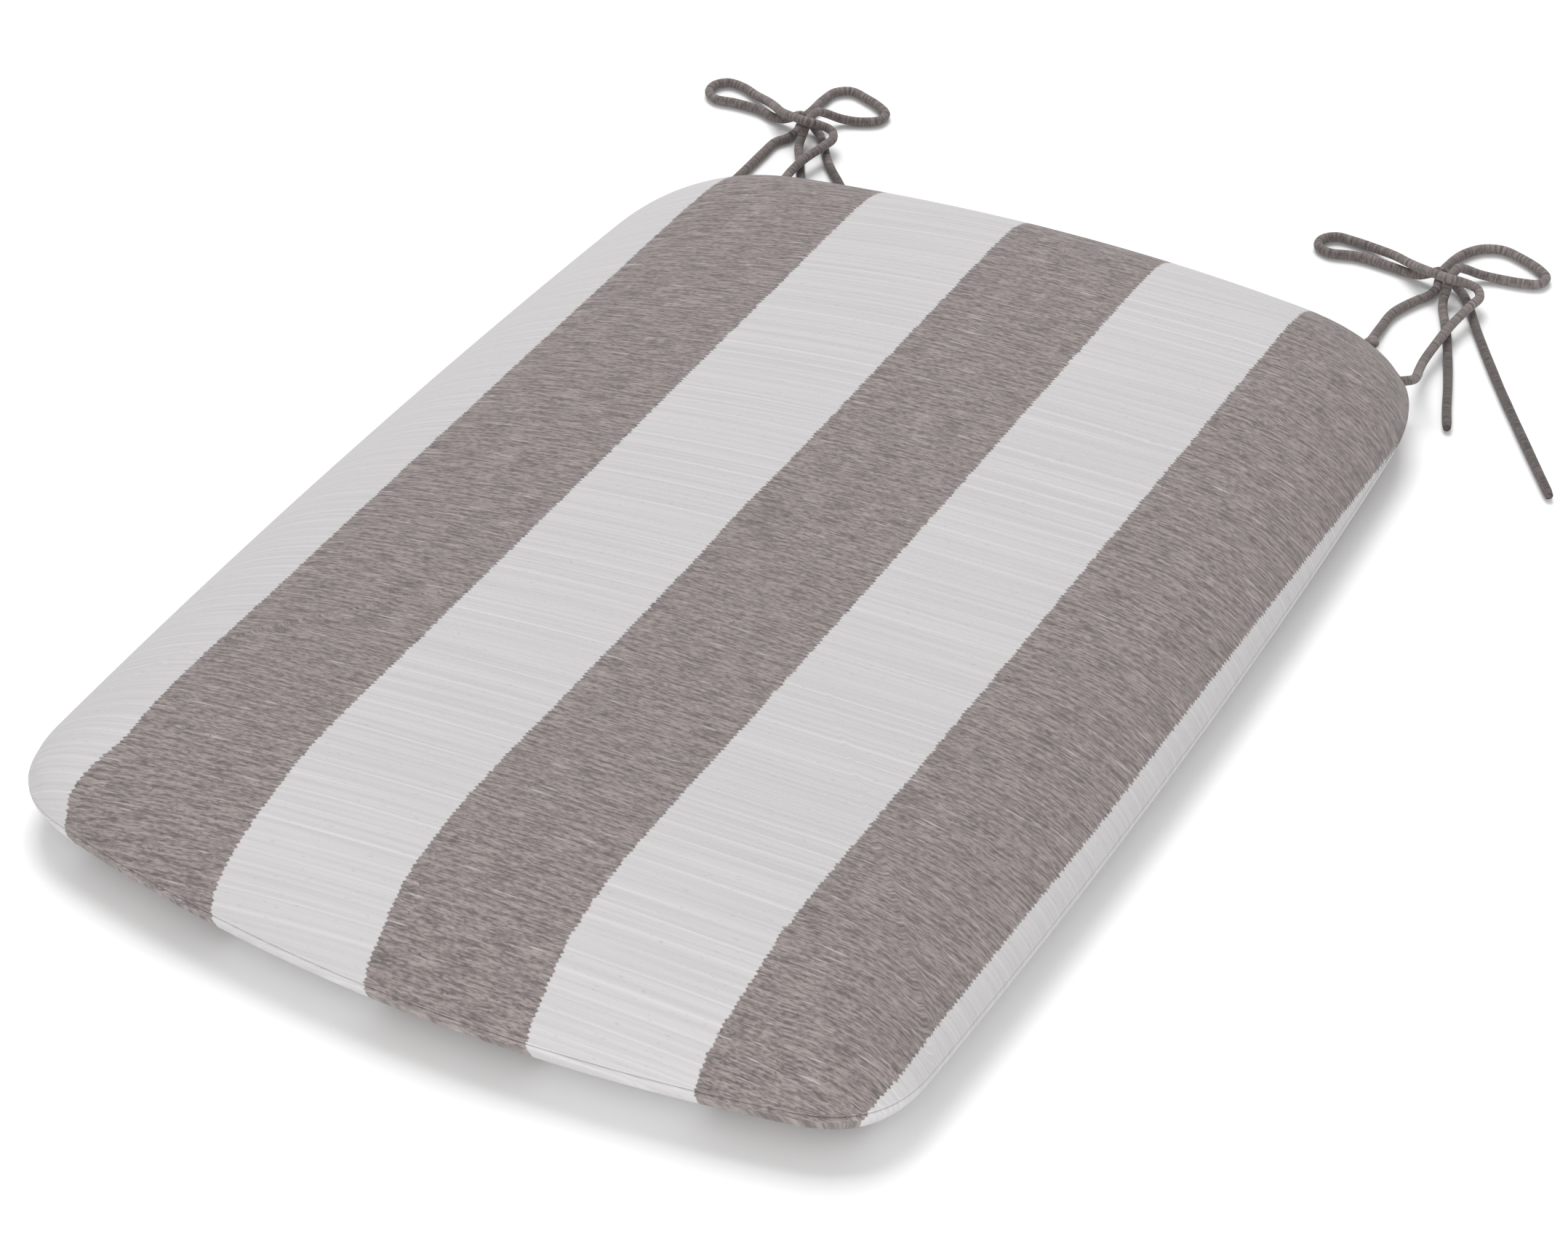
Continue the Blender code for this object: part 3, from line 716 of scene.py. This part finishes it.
# ---------------------------------------------------------------- cover
class PadCover:
    """The stuffed cover: two crowned panels that meet in a recessed seam."""

    insets = (0.0005, 0.0012, 0.0022, 0.0036, 0.0054, 0.0078, 0.0106, 0.0140, 0.0180, 0.0226, 0.0280,
              0.0340, 0.0410, 0.0490, 0.0580, 0.0680, 0.0790, 0.0920, 0.1060, 0.1200, 0.1340, 0.1480,
              0.1620, 0.1750)

    def __init__(self, outline: SeamOutline, sizes: PadSizes, material: bpy.types.Material) -> None:
        """Keep what the cover is made from.

        Args:
            outline: The seam's outline.
            sizes: The cover's heights and insets.
            material: The cover's cloth.
        """
        self.outline = outline
        self.sizes = sizes
        self.material = material
        self.rim = outline.points()

    def _nearest(self, places: np.ndarray) -> tuple[np.ndarray, np.ndarray]:
        """Distance from each place to the seam, and the outward direction there."""
        along = np.roll(self.rim, -1, axis=0) - self.rim
        best = np.full(len(places), np.inf)
        foot = np.zeros_like(places)
        for start, way in zip(self.rim, along):
            share = np.clip(((places - start) @ way) / (way @ way), 0.0, 1.0)
            here = start + share[:, None] * way
            gap = np.linalg.norm(places - here, axis=1)
            closer = gap < best
            best = np.where(closer, gap, best)
            foot[closer] = here[closer]
        outward = foot - places
        size = np.linalg.norm(outward, axis=1, keepdims=True)
        return best, outward / np.maximum(size, 1e-9)

    def _rim_normals(self) -> np.ndarray:
        """The outward direction at each point of the seam."""
        along = np.roll(self.rim, -1, axis=0) - np.roll(self.rim, 1, axis=0)
        outward = np.column_stack([along[:, 1], -along[:, 0]])
        return outward / np.linalg.norm(outward, axis=1, keepdims=True)

    @staticmethod
    def _soften(values: np.ndarray, ring: np.ndarray, width: float) -> np.ndarray:
        """Average values round a ring over a width, so that no mitre shows in the corners."""
        steps = np.linalg.norm(np.roll(ring, -1, axis=0) - ring, axis=1)
        place = np.concatenate([[0.0], np.cumsum(steps)[:-1]])
        total = steps.sum()
        apart = np.abs(place[:, None] - place[None])
        apart = np.minimum(apart, total - apart)
        weight = np.exp(-0.5 * (apart / width) ** 2) * ((steps + np.roll(steps, 1)) / 2.0)[None]
        weight /= weight.sum(axis=1, keepdims=True)
        return weight @ values

    def _seam_relation(self, inset: float) -> tuple[np.ndarray, np.ndarray, np.ndarray]:
        """One ring with its distances to the seam and its outward directions."""
        ring = self.rim * (1.0 - inset / self.outline.half_width)
        if inset < 0.0015:
            return ring, np.full(len(ring), max(inset, 0.0)), self._rim_normals()
        gap, way = self._nearest(ring)
        width = self.sizes.corner_softness * inset
        return ring, self._soften(gap, ring, width), self._soften(way, ring, width)

    def _shares(self, way: np.ndarray) -> tuple[np.ndarray, np.ndarray, np.ndarray]:
        """How far each place belongs to the sides, the front and the back."""
        side = way[:, 0] ** 2
        front = np.minimum(way[:, 1], 0.0) ** 2
        back = np.maximum(way[:, 1], 0.0) ** 2
        total = side + front + back + 1e-9
        return side / total, front / total, back / total

    def top_height(self, gap: np.ndarray, way: np.ndarray) -> np.ndarray:
        """Height of the top panel at a distance from the seam."""
        size = self.sizes
        profiles = ((size.top_roll, size.top_fullness), (size.front_roll, size.front_fullness),
                    (size.back_roll, size.back_fullness))
        rise = np.zeros_like(gap)
        for share, (roll, fullness) in zip(self._shares(way), profiles):
            across = np.clip(gap / roll, 0.0, 1.0)
            rise += share * (1.0 - (1.0 - across) ** 2) ** fullness
        return size.seam_height + (size.crown_height - size.seam_height) * rise

    def _undulation(self, places: np.ndarray, gap: np.ndarray) -> np.ndarray:
        """The filling stands a little prouder near the front and sags a little in the middle."""
        calm = np.clip((gap - 0.02) / 0.05, 0.0, 1.0)
        front = np.exp(-(((places[:, 1] + 0.185) / 0.055) ** 2))
        middle = np.exp(-((places[:, 1] / 0.11) ** 2))
        return calm * (self.sizes.front_swell * front - self.sizes.middle_sag * middle)

    def under_height(self, gap: np.ndarray) -> np.ndarray:
        """Height of the bottom panel at a distance from the seam."""
        share = 1.0 - np.clip(gap / self.sizes.under_roll, 0.0, 1.0)
        return self.sizes.seam_height * (1.0 - np.sqrt(1.0 - share ** 2))

    def _extra_cloth(self, gap: np.ndarray, way: np.ndarray, top: bool) -> np.ndarray:
        """How much longer the cloth is than its plan, from the flat middle out to each place."""
        steps = np.linspace(0.0, 0.09, 901)
        if not top:
            return np.interp(gap, steps, self._run_beyond(self.under_height(steps), steps))
        extra = np.zeros(len(gap))
        compass = (np.array([[1.0, 0.0]]), np.array([[0.0, -1.0]]), np.array([[0.0, 1.0]]))
        for share, direction in zip(self._shares(way), compass):
            heights = self.top_height(steps, np.repeat(direction, len(steps), axis=0))
            extra += share * np.interp(gap, steps, self._run_beyond(heights, steps))
        return extra

    @staticmethod
    def _run_beyond(heights: np.ndarray, steps: np.ndarray) -> np.ndarray:
        """How much longer the cloth is than its plan from each distance to the flat middle."""
        pieces = np.hypot(np.diff(steps), np.diff(heights)) - np.diff(steps)
        return np.concatenate([np.cumsum(pieces[::-1])[::-1], [0.0]])

    @staticmethod
    def _weft_bow(along: np.ndarray, across: np.ndarray) -> np.ndarray:
        """How far the weft lines rise above straight ones: the cloth is pulled askew at the back left."""
        bend = 0.35 + 1.85 * np.clip((across + 0.25) / 0.35, 0.0, 1.15)
        left = np.minimum(along - 0.03, 0.0)
        return 0.05 * along - bend * left ** 2 / 2.0

    @staticmethod
    def _side_grip(across: np.ndarray) -> np.ndarray:
        """How much of the extra cloth draws a stripe outwards, from the front to the back."""
        return np.interp(across, (-0.26, -0.20, -0.08), (0.70, 0.95, 0.40))

    def _front_drift(self, along: np.ndarray, gap: np.ndarray, way: np.ndarray) -> np.ndarray:
        """How far the stripes lean sideways as they come down the front roll."""
        far = np.clip((gap - 0.008) / 0.030, 0.0, 1.0)
        near = 1.0 - far * far * (3.0 - 2.0 * far)
        return self._shares(way)[1] * near * (0.0036 + 0.015 * along - 0.46 * along ** 2)

    def _cloth_place(self, places: np.ndarray, gap: np.ndarray, way: np.ndarray, top: bool) -> np.ndarray:
        """Each vertex's place on the flat cloth, so that the weave follows the curved panels."""
        extra = self._extra_cloth(gap, way, top)
        if not top:
            rim = self._extra_cloth(np.zeros_like(gap), way, True)
            extra = rim + (self._extra_cloth(np.zeros_like(gap), way, False) - extra)
        along = places[:, 0] + way[:, 0] * extra * self._side_grip(places[:, 1])
        along = along - self._front_drift(places[:, 0], gap if top else np.zeros_like(gap), way)
        across = places[:, 1] + way[:, 1] * extra - self._weft_bow(places[:, 0], places[:, 1])
        return np.column_stack([along, across, np.zeros(len(along))])

    def _panel_places(self, top: bool) -> tuple[np.ndarray, np.ndarray]:
        """Places of one panel and of its cloth: lip rings, then rings across it, then its middle."""
        size = self.sizes
        sign = 1.0 if top else -1.0
        rows, cloths = [], []
        for inset, rise in ((size.groove_depth * 0.45, 0.35), (0.00005, 1.0)):
            ring, gap, way = self._seam_relation(inset)
            height = np.full(len(ring), size.seam_height + sign * size.groove_lip * rise)
            rows.append(np.column_stack([ring, height]))
            cloths.append(self._cloth_place(ring, np.zeros(len(ring)), way, top))
        for inset in self.insets:
            ring, gap, way = self._seam_relation(inset)
            if top:
                height = self.top_height(gap, way) + self._undulation(ring, gap)
            else:
                height = self.under_height(gap)
            rows.append(np.column_stack([ring, height]))
            cloths.append(self._cloth_place(ring, gap, way, top))
        crown = size.crown_height - size.middle_sag if top else 0.0
        rows.append(np.array([[0.0, 0.0, crown]]))
        cloths.append(self._cloth_place(np.zeros((1, 2)), np.array([0.09]), np.array([[1.0, 0.0]]), top))
        return np.vstack(rows), np.vstack(cloths)

    def _stitch(self, bm: bmesh.types.BMesh, rows: list[list[bmesh.types.BMVert]],
                middle: bmesh.types.BMVert, flip: bool) -> None:
        """Join rings to each other and the last one to the middle."""
        count = len(rows[0])
        for lower, upper in zip(rows, rows[1:]):
            for index in range(count):
                after = (index + 1) % count
                loop = [lower[index], lower[after], upper[after], upper[index]]
                bm.faces.new(loop[::-1] if flip else loop)
        for index in range(count):
            loop = [rows[-1][index], rows[-1][(index + 1) % count], middle]
            bm.faces.new(loop[::-1] if flip else loop)

    def mesh(self) -> tuple[bpy.types.Mesh, np.ndarray]:
        """Build the closed cover.

        Returns:
            The mesh, and a mask of the vertices that the seam holds still.
        """
        size = self.sizes
        bm = bmesh.new()
        layer = bm.verts.layers.float_vector.new("cloth")
        shade = bm.verts.layers.float.new("shade")
        count = len(self.rim)
        groove, _, way = self._seam_relation(size.groove_depth)
        cloth = self._cloth_place(groove, np.zeros(count), way, True)
        seam = [self._vertex(bm, layer, (x, y, size.seam_height), place)
                for (x, y), place in zip(groove, cloth)]
        held = [True] * count
        for top in (True, False):
            places, cloth = self._panel_places(top)
            verts = [self._vertex(bm, layer, place, spot) for place, spot in zip(places, cloth)]
            rows = [seam] + [verts[start:start + count] for start in range(0, len(verts) - 1, count)]
            self._stitch(bm, rows, verts[-1], not top)
            held += [index < 4 * count for index in range(len(verts))]
        # Painted shade: the vertices at the bottom of the seam's groove are darkened.
        for vert in seam:
            vert[shade] = 1.0
        mesh = bpy.data.meshes.new("pad_cover")
        bm.to_mesh(mesh)
        bm.free()
        LOG.info("cover: %d vertices, %d held at the seam", len(held), sum(held))
        return mesh, np.array(held)

    @staticmethod
    def _vertex(bm: bmesh.types.BMesh, layer: bmesh.types.BMLayerItem, place: Sequence[float],
                cloth: Sequence[float]) -> bmesh.types.BMVert:
        """Add a vertex that knows its place on the cloth."""
        vert = bm.verts.new(place)
        vert[layer] = cloth
        return vert

    def _dress_as_cloth(self, puppet: bpy.types.Object, held: np.ndarray) -> None:
        """Give a copy of the cover its cloth, held where the seam holds it."""
        size = self.sizes
        pins = puppet.vertex_groups.new(name="pins")
        pins.add([int(index) for index in np.nonzero(held)[0]], 1.0, "REPLACE")
        cloth = puppet.modifiers.new("cloth", "CLOTH")
        cloth.settings.quality = size.cloth_quality
        cloth.settings.mass = size.cloth_mass
        cloth.settings.tension_stiffness = size.cloth_stretch
        cloth.settings.compression_stiffness = size.cloth_stretch
        cloth.settings.bending_stiffness = size.cloth_bending
        cloth.settings.vertex_group_mass = pins.name
        cloth.settings.use_pressure = True
        cloth.settings.uniform_pressure_force = size.pressure
        cloth.settings.effector_weights.gravity = 0.0
        cloth.point_cache.frame_start = 1
        cloth.point_cache.frame_end = size.frames

    def _simulate(self, mesh: bpy.types.Mesh, held: np.ndarray) -> np.ndarray:
        """Blow an empty copy of the cover up as cloth.

        Args:
            mesh: The cover.
            held: Which vertices the seam holds still.

        Returns:
            Where the vertices end.
        """
        puppet = bpy.data.objects.new("cover_simulation", mesh.copy())
        scene = bpy.context.scene
        scene.collection.objects.link(puppet)
        self._dress_as_cloth(puppet, held)
        for frame in range(1, self.sizes.frames + 1):
            scene.frame_set(frame)
        graph = bpy.context.evaluated_depsgraph_get()
        result = puppet.evaluated_get(graph).to_mesh()
        places = np.empty(len(result.vertices) * 3)
        result.vertices.foreach_get("co", places)
        puppet.evaluated_get(graph).to_mesh_clear()
        scene.frame_set(1)
        data = puppet.data
        bpy.data.objects.remove(puppet, do_unlink=True)
        bpy.data.meshes.remove(data)
        return places.reshape(-1, 3)

    def _swell(self, mesh: bpy.types.Mesh, held: np.ndarray) -> None:
        """Move the cover out a little where its simulated copy swells.

        The copy is empty and swells by up to 24 mm, so its shape is not used as it is: every point moves
        out by the swelling at most. The top moves out by the least swelling at least, clear of its filling.

        Args:
            mesh: The cover, which is changed.
            held: Which vertices the seam holds still.
        """
        size = self.sizes
        places = np.empty(len(mesh.vertices) * 3)
        mesh.vertices.foreach_get("co", places)
        places = places.reshape(-1, 3)
        normals = np.array([tuple(vert.normal) for vert in mesh.vertices])
        moved = self._simulate(mesh, held) - places
        out = (moved * normals).sum(axis=1)
        LOG.info("cloth simulation: moved out by %.2f mm at the median, %.2f to %.2f mm",
                 1000.0 * float(np.median(out)), 1000.0 * float(out.min()), 1000.0 * float(out.max()))
        rise = np.clip((places[:, 2] - size.seam_height) / size.least_swelling_rise, 0.0, 1.0)
        clear = size.least_swelling * rise
        out = np.maximum(size.swelling * np.tanh(out / size.swelling), clear)
        out[held] = 0.0
        places = places + normals * out[:, None]
        places[:, 2] = np.maximum(places[:, 2], 0.0)
        mesh.vertices.foreach_set("co", places.ravel())
        mesh.update()

    def build(self) -> bpy.types.Object:
        """Make the finished cover.

        Returns:
            The cover's object.
        """
        mesh, held = self.mesh()
        self._swell(mesh, held)
        mesh.materials.append(self.material)
        mesh.shade_smooth()
        cover = bpy.data.objects.new("pad_cover", mesh)
        bpy.context.scene.collection.objects.link(cover)
        smooth = cover.modifiers.new("fine", "SUBSURF")
        smooth.levels = 1
        smooth.render_levels = 1
        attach(cover, "root")
        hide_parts("cover_top_panel", "cover_bottom_panel")
        return cover


# ---------------------------------------------------------------- ties
class TieRoute:
    """The smooth centreline of one tie."""

    def __init__(self, outline: SeamOutline, pad: PadSizes, sizes: TieSizes, bow: BowRoute,
                 strand: Strand) -> None:
        """Gather the chosen points in the model's frame.

        Args:
            outline: The seam's outline.
            pad: The cover's sizes.
            sizes: The ties' sizes.
            bow: The bow that the tie belongs to.
            strand: Which of its two ties.
        """
        route = bow.strands[strand]
        root, outward = outline.root(bow.side, route.root)
        start = root - outward * sizes.root_depth
        leaving = root + outward * (sizes.root_gap + sizes.root_run)
        apex = outline.corner_apex(bow.side) + Vector(bow.knot)
        local = route.leg + KNOT_IN[strand] + route.loop + KNOT_OUT[strand] + route.tail
        points = [Vector((*start, pad.seam_height)), Vector((*leaving, pad.seam_height))]
        points += [self._place(apex, point) for point in local]
        self.points = points
        self.step = sizes.step
        tail = np.array(route.tail)
        self.tail_length = float(np.linalg.norm(np.diff(tail, axis=0), axis=1).sum())

    @staticmethod
    def _place(apex: Vector, local: Point) -> Vector:
        """A point of the bow's frame in the model's frame."""
        sideways = Vector((math.cos(BOW_HEADING), math.sin(BOW_HEADING)))
        forward = Vector((math.sin(BOW_HEADING), -math.cos(BOW_HEADING)))
        flat = apex + sideways * local[0] + forward * local[1]
        return Vector((flat.x, flat.y, local[2]))

    def run(self) -> np.ndarray:
        """Evenly spaced points on a centripetal curve through every chosen point."""
        points = np.array([tuple(point) for point in self.points])
        ends = np.vstack([2 * points[0] - points[1], points, 2 * points[-1] - points[-2]])
        pieces = []
        for index in range(1, len(ends) - 2):
            quad = ends[index - 1:index + 3]
            knots = np.concatenate([[0.0], np.cumsum(np.sqrt(np.linalg.norm(np.diff(quad, axis=0), axis=1)))])
            here = np.linspace(knots[1], knots[2], 24, endpoint=False)[:, None]
            pieces.append(self._blend(quad, knots, here))
        dense = np.vstack(pieces + [points[-1:]])
        gone = np.concatenate([[0.0], np.cumsum(np.linalg.norm(np.diff(dense, axis=0), axis=1))])
        count = max(2, round(gone[-1] / self.step))
        targets = np.linspace(0.0, gone[-1], count + 1)
        return np.column_stack([np.interp(targets, gone, dense[:, axis]) for axis in range(3)])

    @staticmethod
    def _blend(quad: np.ndarray, knots: np.ndarray, here: np.ndarray) -> np.ndarray:
        """The curve through the middle two of four points."""
        level = [np.broadcast_to(point, (len(here), 3)) for point in quad]
        for depth in (1, 2):
            level = [
                level[i] * (knots[i + depth] - here) / (knots[i + depth] - knots[i])
                + level[i + 1] * (here - knots[i]) / (knots[i + depth] - knots[i])
                for i in range(len(level) - 1)
            ]
        span = knots[2] - knots[1]
        return level[0] * (knots[2] - here) / span + level[1] * (here - knots[1]) / span


class Tie:
    """One round fabric tie as a ribbed tube."""

    def __init__(self, name: str, run: np.ndarray, tail_length: float, sizes: TieSizes,
                 material: bpy.types.Material) -> None:
        """Keep the tie's centreline and finish.

        Args:
            name: The name of its piece.
            run: Points along its centreline.
            tail_length: How much of it is the tail, whose cloth is darkened with painted shade.
            sizes: The ties' sizes.
            material: The ties' cloth.
        """
        self.name = name
        self.run = run
        self.tail_length = tail_length
        self.sizes = sizes
        self.material = material
        self.gone = np.concatenate([[0.0], np.cumsum(np.linalg.norm(np.diff(run, axis=0), axis=1))])

    def _frames(self) -> tuple[np.ndarray, np.ndarray]:
        """Two directions square to the centreline, carried along without twist."""
        ways = np.gradient(self.run, axis=0)
        ways /= np.linalg.norm(ways, axis=1, keepdims=True)
        up = np.array([0.0, 0.0, 1.0])
        firsts = []
        for way in ways:
            up = up - way * (up @ way)
            up = up / np.linalg.norm(up)
            firsts.append(up)
        first = np.array(firsts)
        return first, np.cross(ways, first)

    def _radii(self) -> np.ndarray:
        """Radius along the tie: fine ribs, a slow wander, and a pinched far end."""
        size = self.sizes
        radius = np.full(len(self.run), size.diameter / 2.0)
        radius -= size.rib_depth * (0.5 + 0.5 * np.sin(math.tau * self.gone / size.rib_pitch))
        radius -= 0.00008 * (0.5 + 0.5 * np.sin(self.gone * 190.0 + 1.3 * np.sin(self.gone * 71.0)))
        left = self.gone[-1] - self.gone
        radius *= 1.0 - 0.22 * np.clip(1.0 - left / size.end_pinch, 0.0, 1.0) ** 2
        return radius

    def _rings(self, bm: bmesh.types.BMesh) -> list[list[bmesh.types.BMVert]]:
        """Add the rings of vertices along the tie, which know their place on the cloth and their shade."""
        size = self.sizes
        first, second = self._frames()
        radii = self._radii()
        angles = np.arange(size.sides) * math.tau / size.sides
        layer = bm.verts.layers.float_vector.new("cloth")
        shade = bm.verts.layers.float.new("shade")
        tail_start = self.gone[-1] - self.tail_length
        rings = []
        for place, one, two, radius, gone in zip(self.run, first, second, radii, self.gone):
            ring = []
            for angle in angles:
                vert = bm.verts.new(place + radius * (one * math.cos(angle) + two * math.sin(angle)))
                vert[layer] = (math.cos(angle) * radius, gone, math.sin(angle) * radius)
                # Painted shade: the tail's vertices are marked darker, fading in past the knot.
                vert[shade] = size.tail_painted_shade * min(max((gone - tail_start) / size.tail_fade, 0.0), 1.0)
                ring.append(vert)
            rings.append(ring)
        return rings

    def _walls(self, bm: bmesh.types.BMesh, rings: list[list[bmesh.types.BMVert]]) -> None:
        """Join each ring of the tube to the next."""
        sides = self.sizes.sides
        for lower, upper in zip(rings, rings[1:]):
            for index in range(sides):
                after = (index + 1) % sides
                bm.faces.new((lower[index], lower[after], upper[after], upper[index]))

    def _cap(self, bm: bmesh.types.BMesh, ring: list[bmesh.types.BMVert], inward: np.ndarray) -> None:
        """Close an end of the tube, turned in a little."""
        cap = bm.faces.new(ring)
        bmesh.ops.inset_individual(bm, faces=[cap], thickness=self.sizes.diameter * self.sizes.cap_inset,
                                   depth=0.0)
        shift = Vector(inward) * 0.5
        for vert in cap.verts:
            vert.co += shift

    def build(self) -> bpy.types.Object:
        """Make the tie's tube.

        Returns:
            The tie's object.
        """
        bm = bmesh.new()
        rings = self._rings(bm)
        self._walls(bm, rings)
        self._cap(bm, rings[0][::-1], self.run[1] - self.run[0])
        self._cap(bm, rings[-1], self.run[-2] - self.run[-1])
        mesh = bpy.data.meshes.new(self.name)
        bm.to_mesh(mesh)
        bm.free()
        mesh.shade_smooth()
        mesh.set_sharp_from_angle(angle=math.radians(50.0))
        mesh.materials.append(self.material)
        tie = bpy.data.objects.new(self.name, mesh)
        bpy.context.scene.collection.objects.link(tie)
        LOG.info("%s: %.0f mm long", self.name, 1000.0 * self.gone[-1])
        return tie


class Bows:
    """The four ties."""

    def __init__(self, outline: SeamOutline, pad: PadSizes, material: bpy.types.Material) -> None:
        """Keep what the ties are made from."""
        self.outline = outline
        self.pad = pad
        self.material = material
        self.sizes = TieSizes()

    def build(self) -> None:
        for bow_name, bow in BOWS.items():
            for strand in Strand:
                route = TieRoute(self.outline, self.pad, self.sizes, bow, strand)
                run = route.run()
                node = f"tie_{bow_name}_{strand.value}"
                tie = Tie(f"{node}_cloth", run, route.tail_length, self.sizes, self.material)
                piece = tie.build()
                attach(piece, "root")
                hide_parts(node)


# ---------------------------------------------------------------- scene
@dataclass(frozen=True)
class CameraPlace:
    """Where the camera stands and how it looks."""

    azimuth: float = math.radians(29.2)
    elevation: float = math.radians(38.0)
    target: Point = (0.00936, -0.0035, 0.0)
    distance: float = 1.6948
    lens: float = 98.95

    def build(self) -> None:
        """Add the camera and make it the scene's."""
        data = bpy.data.cameras.new("camera")
        data.lens = self.lens
        data.sensor_width = 36.0
        data.clip_end = 50.0
        camera = bpy.data.objects.new("camera", data)
        bpy.context.scene.collection.objects.link(camera)
        back = Vector((math.sin(self.azimuth) * math.cos(self.elevation),
                       -math.cos(self.azimuth) * math.cos(self.elevation), math.sin(self.elevation)))
        camera.location = Vector(self.target) + back * self.distance
        camera.rotation_euler = back.to_track_quat("Z", "Y").to_euler()
        bpy.context.scene.camera = camera


class Studio:
    """The floor and the lights."""

    def __init__(self, materials: Materials) -> None:
        """Keep the materials."""
        self.materials = materials

    def build(self) -> None:
        """Add the floor, the sky and the two lights."""
        self._floor()
        self._sky()
        self._area("key_light", (-1.6, 2.6, 4.2), 3.0, 215.0)
        self._area("front_fill", (1.2, -2.6, 0.55), 1.6, 68.0)

    def _floor(self) -> None:
        """A wide floor under the pad."""
        bm = bmesh.new()
        bmesh.ops.create_grid(bm, x_segments=1, y_segments=1, size=12.0)
        mesh = bpy.data.meshes.new("floor")
        bm.to_mesh(mesh)
        bm.free()
        mesh.materials.append(self.materials.floor())
        floor = bpy.data.objects.new("floor", mesh)
        bpy.context.scene.collection.objects.link(floor)

    def _sky(self) -> None:
        """Even light from all round."""
        world = bpy.data.worlds.new("studio")
        world.use_nodes = True
        sky = world.node_tree.nodes["Background"]
        sky.inputs["Color"].default_value = (1.0, 1.0, 1.0, 1.0)
        sky.inputs["Strength"].default_value = 0.60
        bpy.context.scene.world = world
        bpy.context.scene.view_settings.view_transform = "Standard"

    @staticmethod
    def _area(name: str, place: Point, size: float, power: float) -> None:
        """A square soft light that faces the pad."""
        data = bpy.data.lights.new(name, "AREA")
        data.size = size
        data.energy = power
        light = bpy.data.objects.new(name, data)
        bpy.context.scene.collection.objects.link(light)
        light.location = place
        light.rotation_euler = Vector(place).to_track_quat("Z", "Y").to_euler()


def finish_inner_nodes(materials: Materials) -> None:
    """Give the carried-over solids inside the cover their own materials.

    Args:
        materials: Every material of the scene.
    """
    cloth = materials.striped_cloth(Coordinates.OBJECT)
    wadding = materials.filling("polyester_wadding", (0.86, 0.86, 0.84, 1.0), 0.0012)
    foam = materials.filling("cushion_foam", (0.90, 0.87, 0.72, 1.0), 0.0008)
    thread = materials.thread()
    inner = {"seam_allowance": cloth, "seam_thread": thread, "foam_core": foam,
             "wadding_top": wadding, "wadding_bottom": wadding}
    for bow_name in BOWS:
        for strand in Strand:
            inner[f"tack_{bow_name}_{strand.value}"] = thread
    for node, material in inner.items():
        for slot in bpy.data.objects[node].material_slots:
            slot.material = material


def main() -> None:
    """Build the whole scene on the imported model."""
    logging.basicConfig(level=logging.INFO, format="%(name)s: %(message)s")
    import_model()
    CameraPlace().build()
    outline = SeamOutline(OutlineSizes())
    pad = PadSizes()
    materials = Materials()
    Bows(outline, pad, materials.tie_cloth()).build()
    PadCover(outline, pad, materials.striped_cloth(Coordinates.CLOTH)).build()
    finish_inner_nodes(materials)
    Studio(materials).build()


if __name__ == "__main__":
    main()
